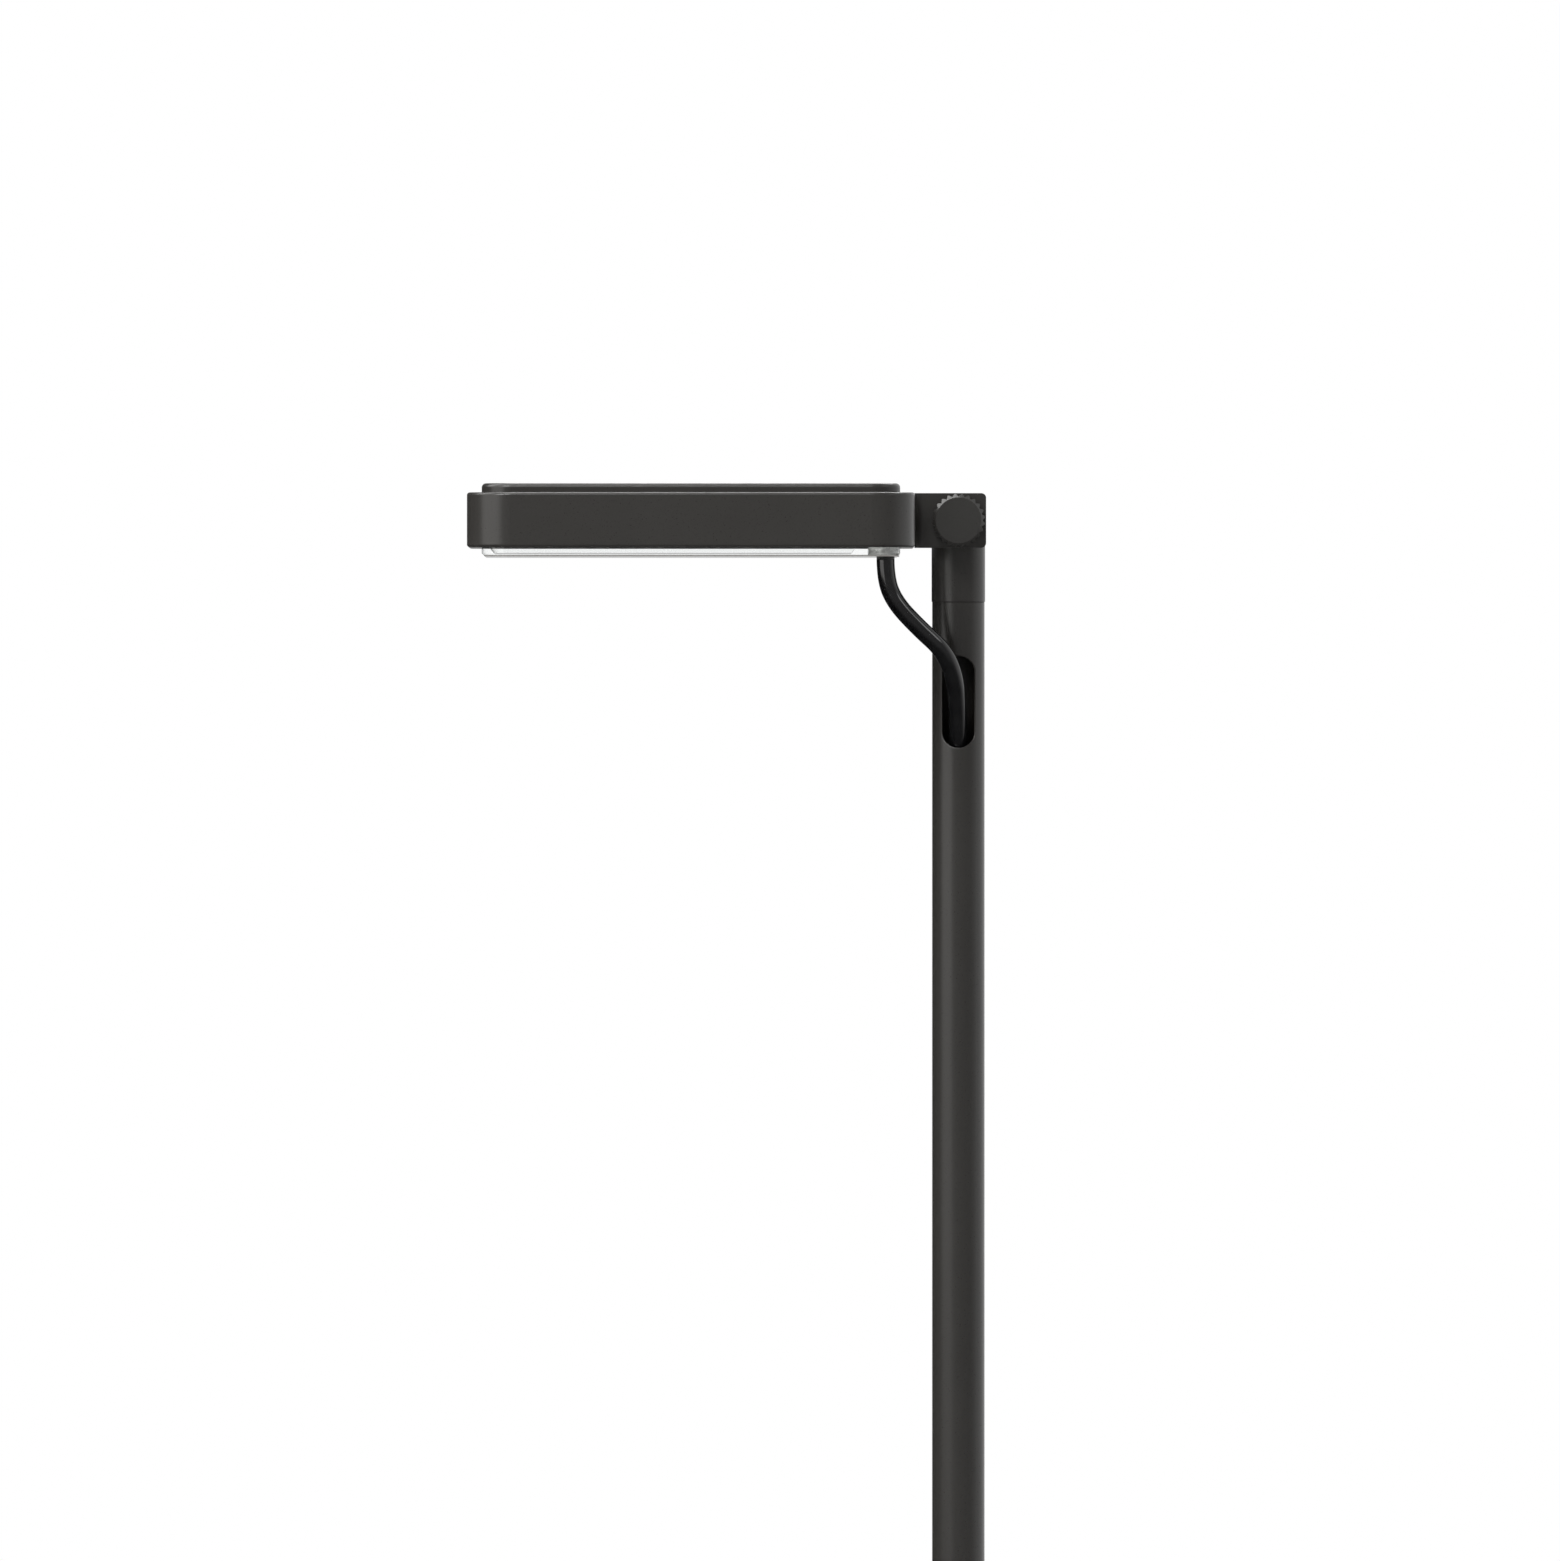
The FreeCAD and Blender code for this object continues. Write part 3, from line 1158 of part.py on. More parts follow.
pieces = [
    make_base_flange(),
    make_grub_screws("base_grub_screws", "%s + dims.base_spigot_length / 2" % tube_foot),
    make_post_tube(),
    make_post_knuckle(),
    make_grub_screws("knuckle_grub_screws", "%s - dims.grub_edge_distance" % tube_top),
    make_hinge_bushes(),
    make_base_socket(),
    make_lead_plug(),
    make_lead_in_post(),
    make_lamp_lead(),
    make_hinge_arm(),
    make_arm_screws(),
    make_pivot_bolt(),
    make_thrust_washer(),
    make_clamp_knob(),
    make_knob_insert(),
    make_head_frame(),
    make_top_cover(),
    gasket("cover_gasket", ledge_face, True),
    make_cover_screws(),
    make_lens(),
    gasket("lens_gasket", "-" + panel_seat, False),
    make_led_board(),
    make_led_chips(),
    make_reflector(),
    make_optic_screws(),
    make_gear_tray(),
    make_tray_screws(),
    make_driver(),
    make_terminal_block(),
    make_cable_gland(),
    make_gland_clamp(),
    make_clamp_screws(),
    make_lead_in_head(),
    make_lead_cores(),
]

doc.recompute()
failed = [item.Name for item in doc.Objects if {"Invalid", "Error"} & set(item.State)]
failed += [item.Label for item in pieces
           if item.Shape.isNull() or not item.Shape.isValid() or not item.Shape.Solids]
if failed:
    raise RuntimeError("failed objects: " + ", ".join(failed))

os.makedirs("parts", exist_ok=True)
for item in pieces:
    item.Shape.exportStep("parts/%s.step" % item.Label)
    print("%-22s %2d solids %10.1f mm3" % (item.Label, len(item.Shape.Solids), item.Shape.Volume))
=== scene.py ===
import json
import math

import bmesh
import bpy
from mathutils import Matrix, Vector


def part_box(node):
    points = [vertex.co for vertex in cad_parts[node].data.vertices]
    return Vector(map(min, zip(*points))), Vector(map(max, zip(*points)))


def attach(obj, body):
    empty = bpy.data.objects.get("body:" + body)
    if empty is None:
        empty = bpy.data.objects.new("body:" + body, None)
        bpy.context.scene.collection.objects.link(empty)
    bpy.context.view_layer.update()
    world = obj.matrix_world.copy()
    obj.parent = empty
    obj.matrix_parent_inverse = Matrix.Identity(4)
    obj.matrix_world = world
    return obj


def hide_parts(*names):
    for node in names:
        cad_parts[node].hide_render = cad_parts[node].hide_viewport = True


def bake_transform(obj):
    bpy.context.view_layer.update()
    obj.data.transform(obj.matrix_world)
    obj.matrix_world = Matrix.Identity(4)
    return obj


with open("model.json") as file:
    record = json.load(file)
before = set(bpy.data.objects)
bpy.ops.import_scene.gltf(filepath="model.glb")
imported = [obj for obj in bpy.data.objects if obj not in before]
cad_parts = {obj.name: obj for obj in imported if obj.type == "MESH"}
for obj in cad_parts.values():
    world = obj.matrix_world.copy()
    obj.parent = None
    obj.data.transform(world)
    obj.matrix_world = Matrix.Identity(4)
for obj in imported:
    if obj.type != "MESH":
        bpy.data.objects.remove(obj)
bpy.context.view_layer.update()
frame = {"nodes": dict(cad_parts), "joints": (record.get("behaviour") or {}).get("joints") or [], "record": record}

scene = bpy.context.scene
nodes = frame["nodes"]
hinge = Vector(next(joint["pos_m"] for joint in frame["joints"] if joint["name"] == "head_tilt"))
mm = 0.001  # the scene is in metres
print("frame loaded:", len(nodes), "nodes")


# Nodes: addNode makes any node, and a Wire lets its output take part in plain arithmetic.

class Wire:
    def __init__(self, tree, socket):
        self.tree = tree
        self.socket = socket

    def math(self, operation, first, second=0.0):
        return addNode(self.tree, "ShaderNodeMath", {"operation": operation}, {0: first, 1: second})

    def __add__(self, other):
        return self.math("ADD", self, other)

    def __sub__(self, other):
        return self.math("SUBTRACT", self, other)

    def __rsub__(self, other):
        return self.math("SUBTRACT", other, self)

    def __mul__(self, other):
        return self.math("MULTIPLY", self, other)

    def __pow__(self, power):
        return self.math("POWER", self, power)

    def __abs__(self):
        return self.math("ABSOLUTE", self)

    def atLeast(self, other):
        return self.math("MAXIMUM", self, other)

    __radd__ = __add__
    __rmul__ = __mul__


def addNode(tree, kind, settings=None, inputs=None, output=0):
    node = tree.nodes.new(kind)
    for name, value in (settings or {}).items():
        if name == "stops":
            setStops(node.color_ramp, value)
        else:
            setattr(node, name, value)
    for key, value in (inputs or {}).items():
        if isinstance(value, Wire):
            tree.links.new(value.socket, node.inputs[key])
        elif isinstance(value, list):  # several wires into one socket
            for wire in value:
                tree.links.new(wire.socket, node.inputs[key])
        else:
            node.inputs[key].default_value = value
    if len(node.outputs):  # an output node has none
        return Wire(tree, node.outputs[output])


def setStops(ramp, stops):
    ramp.interpolation = "CONSTANT"
    while len(ramp.elements) < len(stops):
        ramp.elements.new(1.0)
    for element, (position, colour) in zip(ramp.elements, stops):
        element.position = position
        element.color = colour


# Camera: the photograph is almost a parallel view, so the camera stands far off behind a long lens.

photoView = {"width": 1560, "height": 1561, "hingePixel": (958.36, 520.6), "metresPerPixel": 0.42 * mm,
             "distance": 25.0, "sensor": 36.0}


def makeCamera():
    data = bpy.data.cameras.new("photoCamera")
    camera = bpy.data.objects.new("photoCamera", data)
    scene.collection.objects.link(camera)
    scale = photoView["metresPerPixel"]
    across = (photoView["width"] / 2 - photoView["hingePixel"][0]) * scale
    up = (photoView["hingePixel"][1] - photoView["height"] / 2) * scale
    camera.location = hinge + Vector((across, -photoView["distance"], up))
    camera.rotation_euler = (math.pi / 2, 0, 0)
    longSide = max(photoView["width"], photoView["height"]) * scale
    data.sensor_width = photoView["sensor"]
    data.lens = photoView["sensor"] * photoView["distance"] / longSide
    data.clip_end = 2 * photoView["distance"]
    scene.camera = camera


makeCamera()
print("camera placed")


# Lead: a smooth line led by the route's points, and a round sheath along it.

lead = {
    "diameter": 7.6 * mm,
    "length": 125.4 * mm,
    "sides": 32,
    "route": [(-30.6, -19.0, -15.35), (-30.6, -19.0, -24.5), (-26.6, -19.2, -34.5), (-16.6, -19.6, -45.2),
              (-6.4, -18.6, -54.4), (-1.6, -14.6, -65.0), (-0.5, -8.8, -78.0), (0.0, -4.2, -94.0),
              (0.0, 0.0, -112.0), (0.0, 0.0, -128.0)],  # millimetres from the hinge
    "curveOrder": 3,
    "curveSteps": 12,
    "bendStart": 0,  # points of the route that mark the stretch where the real lead bends as the head tilts
    "bendEnd": 6,
}


def routePoint(index):
    return hinge + Vector(lead["route"][index]) * mm


def linePoints():
    data = bpy.data.curves.new("leadLine", "CURVE")
    data.dimensions = "3D"
    spline = data.splines.new("NURBS")
    spline.points.add(len(lead["route"]) - 1)
    for index, point in enumerate(spline.points):
        point.co = (*routePoint(index), 1.0)
    spline.order_u = lead["curveOrder"]
    spline.resolution_u = lead["curveSteps"]
    spline.use_endpoint_u = True
    holder = bpy.data.objects.new("leadLine", data)
    scene.collection.objects.link(holder)
    evaluated = holder.evaluated_get(bpy.context.evaluated_depsgraph_get())
    mesh = bpy.data.meshes.new_from_object(evaluated)
    points = [vertex.co.copy() for vertex in mesh.vertices]
    bpy.data.objects.remove(holder)
    bpy.data.meshes.remove(mesh)
    return points


def sweepTube(name, points, radius, sides):
    work = bmesh.new()
    wrap = work.loops.layers.uv.new("sheath")
    turns = [2 * math.pi * step / sides for step in range(sides)]
    girth = 2 * math.pi * radius
    side = Vector((0, 1, 0))
    rings = []
    travel = [0.0]
    for index, point in enumerate(points):
        ahead = points[min(index + 1, len(points) - 1)] - points[max(index - 1, 0)]
        ahead.normalize()
        side = (side - ahead * side.dot(ahead)).normalized()
        other = ahead.cross(side)
        rings.append([work.verts.new(point + (side * math.cos(turn) + other * math.sin(turn)) * radius)
                      for turn in turns])
        if index:
            travel.append(travel[-1] + (point - points[index - 1]).length)
    for index in range(len(rings) - 1):
        here, there = rings[index], rings[index + 1]
        for step in range(sides):
            after = (step + 1) % sides
            face = work.faces.new((here[step], here[after], there[after], there[step]))
            face.smooth = True
            around = (step, step + 1, step + 1, step)
            along = (travel[index], travel[index], travel[index + 1], travel[index + 1])
            for loop, u, v in zip(face.loops, around, along):
                loop[wrap].uv = (u / sides, v / girth)
    work.faces.new(rings[0])
    work.faces.new(rings[-1])
    bmesh.ops.recalc_face_normals(work, faces=work.faces)
    mesh = bpy.data.meshes.new(name)
    work.to_mesh(mesh)
    work.free()
    piece = bpy.data.objects.new(name, mesh)
    scene.collection.objects.link(piece)
    return piece


leadPoints = linePoints()
leadSheath = sweepTube("lampLeadSheath", leadPoints, lead["diameter"] / 2, lead["sides"])
print("lead swept through", len(leadPoints), "points")


# Finishes

noiseSpan = (0.3, 0.7)  # most values of a noise lie between these


def tone(red, green, blue):
    return (red, green, blue, 1.0)


def newFinish(name):
    material = bpy.data.materials.new(name)
    material.use_nodes = True
    material.node_tree.nodes.clear()
    return material, material.node_tree


def closeFinish(tree, sockets):
    shader = addNode(tree, "ShaderNodeBsdfPrincipled", None, sockets)
    addNode(tree, "ShaderNodeOutputMaterial", None, {"Surface": shader})


def placeOn(tree):
    return addNode(tree, "ShaderNodeTexCoord", output="Object")


def stretched(tree, place, factors):
    return addNode(tree, "ShaderNodeMapping", None, {"Vector": place, "Scale": factors})


def noise(tree, place, size, detail=2.0):
    return addNode(tree, "ShaderNodeTexNoise", None, {"Vector": place, "Scale": 1 / size, "Detail": detail})


def spread(tree, value, low=0.0, high=1.0):
    return addNode(tree, "ShaderNodeMapRange", None,
                   {"Value": value, "From Min": noiseSpan[0], "From Max": noiseSpan[1],
                    "To Min": low, "To Max": high})


def ramped(tree, value, start, end):
    return addNode(tree, "ShaderNodeMapRange", None, {"Value": value, "From Min": start, "From Max": end})


def blendColour(tree, factor, first, second):
    # sockets 6 and 7 and output 2 are the node's colours
    return addNode(tree, "ShaderNodeMix", {"data_type": "RGBA"}, {0: factor, 6: first, 7: second}, 2)


def bump(tree, height, depth):
    return addNode(tree, "ShaderNodeBump", None, {"Height": height, "Distance": depth})


# Skins: a fine grain in the gloss and the surface, and a slow drift of the colour towards a second shade.
# The coat is pebbled, mouldings have a spark-eroded grain, and on turned metal the grain is drawn into lines.
coated = {"grain": 0.45 * mm, "detail": 3.0, "depth": 0.004 * mm, "drift": 38 * mm, "driftShare": 0.7,
          "stretch": (1, 1, 1), "metal": 0.0, "shine": 0.45}
moulded = {"grain": 0.35 * mm, "detail": 3.0, "depth": 0.006 * mm, "drift": 22 * mm, "driftShare": 0.6,
           "stretch": (1, 1, 1), "metal": 0.0, "shine": 0.4}
turned = {"grain": 0.4 * mm, "detail": 2.0, "depth": 0.004 * mm, "drift": 6 * mm, "driftShare": 0.5,
          "stretch": (1, 1, 12), "metal": 1.0, "shine": 0.5}
skins = {
    "powder_coat": {**coated, "name": "powderCoat", "colour": tone(0.0255, 0.024, 0.0222),
                    "shade": tone(0.029, 0.0275, 0.0255), "rough": (0.27, 0.34)},
    "knob_plastic": {**moulded, "name": "knobPlastic", "colour": tone(0.026, 0.0248, 0.023),
                     "shade": tone(0.029, 0.028, 0.026), "rough": (0.27, 0.35), "shine": 0.5},
    "stainless": {**turned, "name": "stainlessSteel", "colour": tone(0.52, 0.52, 0.51),
                  "shade": tone(0.40, 0.40, 0.39), "rough": (0.26, 0.4)},
    "brass": {**turned, "name": "turnedBrass", "colour": tone(0.62, 0.45, 0.18),
              "shade": tone(0.45, 0.32, 0.13), "rough": (0.26, 0.4), "stretch": (1, 12, 1)},
    "silicone_seal": {**moulded, "name": "siliconeSeal", "colour": tone(0.03, 0.03, 0.03),
                      "shade": tone(0.04, 0.04, 0.04), "rough": (0.6, 0.75)},
    "board_core": {**moulded, "name": "boardMask", "colour": tone(0.80, 0.80, 0.78),
                   "shade": tone(0.72, 0.72, 0.70), "rough": (0.3, 0.42)},
    "led_phosphor": {**moulded, "name": "ledPhosphor", "colour": tone(0.80, 0.60, 0.12),
                     "shade": tone(0.70, 0.50, 0.09), "rough": (0.25, 0.35)},
    "reflector_white": {**moulded, "name": "reflectorWhite", "colour": tone(0.82, 0.82, 0.81),
                        "shade": tone(0.78, 0.78, 0.77), "rough": (0.14, 0.22)},
    "tray_plastic": {**moulded, "name": "trayPlastic", "colour": tone(0.52, 0.52, 0.51),
                     "shade": tone(0.47, 0.47, 0.46), "rough": (0.42, 0.55)},
    "driver_case": {**moulded, "name": "driverCase", "colour": tone(0.03, 0.03, 0.03),
                    "shade": tone(0.04, 0.04, 0.04), "rough": (0.4, 0.52)},
    "terminal_plastic": {**moulded, "name": "terminalPlastic", "colour": tone(0.68, 0.68, 0.64),
                         "shade": tone(0.62, 0.62, 0.58), "rough": (0.35, 0.45)},
    "bush_polymer": {**moulded, "name": "bushPolymer", "colour": tone(0.05, 0.05, 0.05),
                     "shade": tone(0.06, 0.06, 0.06), "rough": (0.4, 0.5)},
    "connector_plastic": {**moulded, "name": "connectorPlastic", "colour": tone(0.02, 0.02, 0.02),
                          "shade": tone(0.026, 0.026, 0.026), "rough": (0.4, 0.5)},
}


def skinFinish(look):
    material, tree = newFinish(look["name"])
    place = placeOn(tree)
    grain = noise(tree, stretched(tree, place, look["stretch"]), look["grain"], look["detail"])
    drift = noise(tree, place, look["drift"])
    shade = spread(tree, drift * look["driftShare"] + grain * (1 - look["driftShare"]))
    closeFinish(tree, {"Base Color": blendColour(tree, shade, look["colour"], look["shade"]),
                       "Roughness": spread(tree, grain, *look["rough"]),
                       "Normal": bump(tree, grain, look["depth"]),
                       "Metallic": look["metal"], "Specular IOR Level": look["shine"]})
    return material


# Sheath of the lead: black rubber with faint lines drawn along it.
sheath = {"black": tone(0.004, 0.004, 0.0045), "worn": tone(0.008, 0.008, 0.0085), "dust": 5 * mm,
          "rough": (0.1, 0.17), "shine": 0.55,
          "lineStretch": (46.0, 0.5, 1.0), "lineSize": 1.0, "lineShare": 0.6, "lineDepth": 0.004 * mm}


def sheathFinish(name):
    material, tree = newFinish(name)
    wrap = addNode(tree, "ShaderNodeTexCoord", output="UV")
    drawn = noise(tree, stretched(tree, wrap, sheath["lineStretch"]), sheath["lineSize"])
    dust = noise(tree, placeOn(tree), sheath["dust"])
    gloss = drawn * sheath["lineShare"] + dust * (1 - sheath["lineShare"])
    closeFinish(tree, {"Base Color": blendColour(tree, spread(tree, dust), sheath["black"], sheath["worn"]),
                       "Roughness": spread(tree, gloss, *sheath["rough"]),
                       "Normal": bump(tree, drawn, sheath["lineDepth"]),
                       "Specular IOR Level": sheath["shine"]})
    return material


# Lens: thin and clear, a mirror where it is seen at a low angle, and grey along the rim of its floor: painted
# shade in place of the dark that refraction gives its thick edge.
pane = {"through": tone(0.992, 0.997, 0.995), "mirror": tone(0.95, 0.96, 0.96), "mirrorFront": 0.04,
        "facingBlend": 0.5, "steepness": 4.0, "waver": 30 * mm, "rough": (0.01, 0.04),
        # the rim colour is painted shade, standing in for refraction in the thick edge
        "rimShadeColour": tone(0.3, 0.29, 0.275), "rimShadeRough": 0.35, "rimFull": 0.45 * mm, "rimEnd": 0.75 * mm,
        "flatFrom": 0.9, "flatTo": 0.98}


def clearPane(tree, place):
    facing = addNode(tree, "ShaderNodeLayerWeight", None, {"Blend": pane["facingBlend"]}, "Facing")
    share = pane["mirrorFront"] + (1 - pane["mirrorFront"]) * facing ** pane["steepness"]
    clear = addNode(tree, "ShaderNodeBsdfTransparent", None, {"Color": pane["through"]})
    gloss = spread(tree, noise(tree, place, pane["waver"]), *pane["rough"])
    mirror = addNode(tree, "ShaderNodeBsdfPrincipled", None,
                     {"Base Color": pane["mirror"], "Metallic": 1.0, "Roughness": gloss})
    return addNode(tree, "ShaderNodeMixShader", None, {0: share, 1: clear, 2: mirror})


# Painted shade: a mask for the side walls just above the lens floor, where the grey is painted.
def paintedRimShade(tree, place):
    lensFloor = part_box("lens")[0][2]
    level = addNode(tree, "ShaderNodeSeparateXYZ", None, {0: place}, "Z")
    near = ramped(tree, level, lensFloor + pane["rimEnd"], lensFloor + pane["rimFull"])
    outward = addNode(tree, "ShaderNodeVectorTransform",
                      {"vector_type": "NORMAL", "convert_from": "WORLD", "convert_to": "OBJECT"},
                      {0: addNode(tree, "ShaderNodeNewGeometry", output="Normal")})
    upright = addNode(tree, "ShaderNodeSeparateXYZ", None, {0: outward}, "Z")
    flat = ramped(tree, abs(upright), pane["flatFrom"], pane["flatTo"])
    return near * (1 - flat)


def lensFinish(name):
    material, tree = newFinish(name)
    place = placeOn(tree)
    # the grey shader is the painted rim shade
    paintedDark = addNode(tree, "ShaderNodeBsdfPrincipled", None,
                    {"Base Color": pane["rimShadeColour"], "Roughness": pane["rimShadeRough"]})
    mixed = addNode(tree, "ShaderNodeMixShader", None,
                    {0: paintedRimShade(tree, place), 1: clearPane(tree, place), 2: paintedDark})
    addNode(tree, "ShaderNodeOutputMaterial", None, {"Surface": mixed})
    return material


# Gland: pale silicone as it shows through the lens, with swirls of pale and dark that are painted reflections and
# refraction of a clear boss.
# the pale and dark swirl colours are painted reflections and refraction, as a clear boss shows them
gland = {"pale": tone(0.86, 0.86, 0.84), "paintedDark": tone(0.22, 0.22, 0.21), "rough": (0.18, 0.3), "shine": 0.5,
         "swirl": 4.5 * mm, "swirlStretch": (1.0, 1.0, 2.6), "swirlDetail": 3.0, "swirlDepth": 0.02 * mm}


def glandFinish(name):
    material, tree = newFinish(name)
    place = stretched(tree, placeOn(tree), gland["swirlStretch"])
    swirl = noise(tree, place, gland["swirl"], gland["swirlDetail"])
    # base colour swirls between pale and dark: painted reflections and refraction
    closeFinish(tree, {"Base Color": blendColour(tree, spread(tree, swirl), gland["pale"], gland["paintedDark"]),
                       "Roughness": spread(tree, swirl, *gland["rough"]),
                       "Normal": bump(tree, swirl, gland["swirlDepth"]),
                       "Specular IOR Level": gland["shine"]})
    return material


# Cores: each core takes one of three colours.
cores = {"stops": [(0.0, tone(0.10, 0.035, 0.012)), (0.34, tone(0.02, 0.06, 0.25)),
                   (0.67, tone(0.12, 0.22, 0.02))],
         "grain": 0.8 * mm, "rough": (0.28, 0.38)}


def coreFinish(name):
    material, tree = newFinish(name)
    island = addNode(tree, "ShaderNodeNewGeometry", output="Random Per Island")
    colour = addNode(tree, "ShaderNodeValToRGB", {"stops": cores["stops"]}, {0: island})
    skin = noise(tree, placeOn(tree), cores["grain"])
    closeFinish(tree, {"Base Color": colour, "Roughness": spread(tree, skin, *cores["rough"])})
    return material


finishes = {slot: skinFinish(look) for slot, look in skins.items()}
finishes["clear_lens"] = lensFinish("clearLens")
finishes["gland_rubber"] = glandFinish("glandSilicone")
finishes["lead_jacket"] = sheathFinish("leadSheath")
finishes["core_insulation"] = coreFinish("coreInsulation")


def dressNodes():
    for part in frame["record"]["subparts"]:
        place = nodes[part["node"]].material_slots[0]
        place.link = "OBJECT"
        place.material = finishes[part["material_slot"]]


dressNodes()
print("finishes made:", len(finishes))


# Small repeated pieces: Geometry Nodes set one shape at every place that the frame gives.

grown = {"weld": 0.002 * mm, "sharpFrom": math.radians(30), "roundSides": 28, "hexSides": 6,
         "domeSegments": 20, "domeRings": 10, "turnSeed": 7, "sortDigits": 4}
coverScrew = {"Top Radius": 2.2 * mm, "Crown Height": 0.1 * mm, "Head Radius": 2.3 * mm,
              "Rim Height": 0.12 * mm, "Under Height": 1.05 * mm, "Shank Radius": 1.25 * mm,
              "Shank Length": 10.73 * mm, "Key Radius": 0.92 * mm, "Key Depth": 1.0 * mm, "Tip Over": 0.0}
opticScrew = {"Top Radius": 2.0 * mm, "Crown Height": 0.9 * mm, "Head Radius": 2.7 * mm,
              "Rim Height": 0.9 * mm, "Under Height": 0.02 * mm, "Shank Radius": 1.5 * mm,
              "Shank Length": 21.13 * mm, "Key Radius": 1.15 * mm, "Key Depth": 1.0 * mm, "Tip Over": math.pi}
ledPackage = {"Body Width": 3.2 * mm, "Body Height": 0.42 * mm,
              "Dome Radius": 1.3 * mm, "Dome Height": 0.28 * mm}
ledBody = {**moulded, "name": "ledBody", "colour": tone(0.78, 0.78, 0.76), "shade": tone(0.72, 0.72, 0.70),
           "rough": (0.35, 0.45)}


def looseBoxes(name):
    work = bmesh.new()
    work.from_mesh(nodes[name].data)
    bmesh.ops.remove_doubles(work, verts=work.verts, dist=grown["weld"])
    waiting = set(work.verts)
    boxes = []
    while waiting:
        island = [waiting.pop()]
        for vertex in island:  # grows as the vertices joined to it are found
            joined = [edge.other_vert(vertex) for edge in vertex.link_edges]
            found = [other for other in joined if other in waiting]
            waiting.difference_update(found)
            island.extend(found)
        low = Vector(min(vertex.co[axis] for vertex in island) for axis in range(3))
        high = Vector(max(vertex.co[axis] for vertex in island) for axis in range(3))
        boxes.append((low, high))
    work.free()
    digits = grown["sortDigits"]
    return sorted(boxes, key=lambda box: (round(box[0].x, digits), round(box[0].y, digits)))


def topOf(low, high):
    return ((low.x + high.x) / 2, (low.y + high.y) / 2, high.z)


def bottomOf(low, high):
    return ((low.x + high.x) / 2, (low.y + high.y) / 2, low.z)


def newGrowth(name, labels):
    tree = bpy.data.node_groups.new(name, "GeometryNodeTree")
    tree.interface.new_socket("Pieces", in_out="OUTPUT", socket_type="NodeSocketGeometry")
    tree.interface.new_socket("Places", in_out="INPUT", socket_type="NodeSocketGeometry")
    for label in labels:
        tree.interface.new_socket(label, in_out="INPUT", socket_type="NodeSocketFloat")
    entry = tree.nodes.new("NodeGroupInput")
    return tree, {socket.name: Wire(tree, socket) for socket in entry.outputs if socket.name}


def raised(tree, shape, level):
    offset = addNode(tree, "ShaderNodeCombineXYZ", None, {"Z": level})
    return addNode(tree, "GeometryNodeTransform", None, {"Geometry": shape, "Translation": offset})


def ringWall(tree, sides, upper, lower, height, level):
    wall = addNode(tree, "GeometryNodeMeshCone", {"fill_type": "NONE"},
                   {"Vertices": sides, "Radius Top": upper, "Radius Bottom": lower, "Depth": height})
    return raised(tree, wall, level)


def flatFace(tree, outlines, level):
    rings = [addNode(tree, "GeometryNodeCurvePrimitiveCircle", None, {"Resolution": sides, "Radius": radius})
             for sides, radius in outlines]
    joined = addNode(tree, "GeometryNodeJoinGeometry", None, {0: rings})
    return raised(tree, addNode(tree, "GeometryNodeFillCurve", None, {"Curve": joined}), level)


def closeGrowth(tree, places, shape, turn, finish):
    placed = addNode(tree, "GeometryNodeInstanceOnPoints", None,
                     {"Points": places, "Instance": shape, "Rotation": turn})
    real = addNode(tree, "GeometryNodeRealizeInstances", None, {"Geometry": placed})
    return addNode(tree, "GeometryNodeSetMaterial", None, {"Geometry": real, "Material": finish})


def screwGrowth(name, labels, finish):
    tree, size = newGrowth(name, labels)
    roundSides = grown["roundSides"]
    hexSides = grown["hexSides"]
    level = 0.0
    faces = []
    for upper, lower, height in (("Top Radius", "Head Radius", "Crown Height"),
                                 ("Head Radius", "Head Radius", "Rim Height"),
                                 ("Head Radius", "Shank Radius", "Under Height"),
                                 ("Shank Radius", "Shank Radius", "Shank Length")):
        level = level - size[height]
        faces.append(ringWall(tree, roundSides, size[upper], size[lower], size[height], level))
    faces.append(flatFace(tree, [(roundSides, size["Shank Radius"])], level))
    key = size["Key Radius"]
    keyFloor = 0.0 - size["Key Depth"]
    faces.append(flatFace(tree, [(roundSides, size["Top Radius"]), (hexSides, key)], 0.0))
    faces.append(ringWall(tree, hexSides, key, key, size["Key Depth"], keyFloor))
    faces.append(flatFace(tree, [(hexSides, key)], keyFloor))
    joined = addNode(tree, "GeometryNodeJoinGeometry", None, {0: faces})
    welded = addNode(tree, "GeometryNodeMergeByDistance", None,
                     {"Geometry": joined, "Distance": grown["weld"]})
    # sockets 2 and 3 and output 1 are the node's plain numbers
    spin = addNode(tree, "FunctionNodeRandomValue", {"data_type": "FLOAT"},
                   {2: 0.0, 3: 2 * math.pi, "Seed": grown["turnSeed"]}, 1)
    angles = addNode(tree, "ShaderNodeCombineXYZ", None, {"X": size["Tip Over"], "Z": spin})
    turn = addNode(tree, "FunctionNodeEulerToRotation", None, {0: angles})
    painted = closeGrowth(tree, size["Places"], welded, turn, finish)
    addNode(tree, "NodeGroupOutput", None, {"Pieces": painted})
    return tree


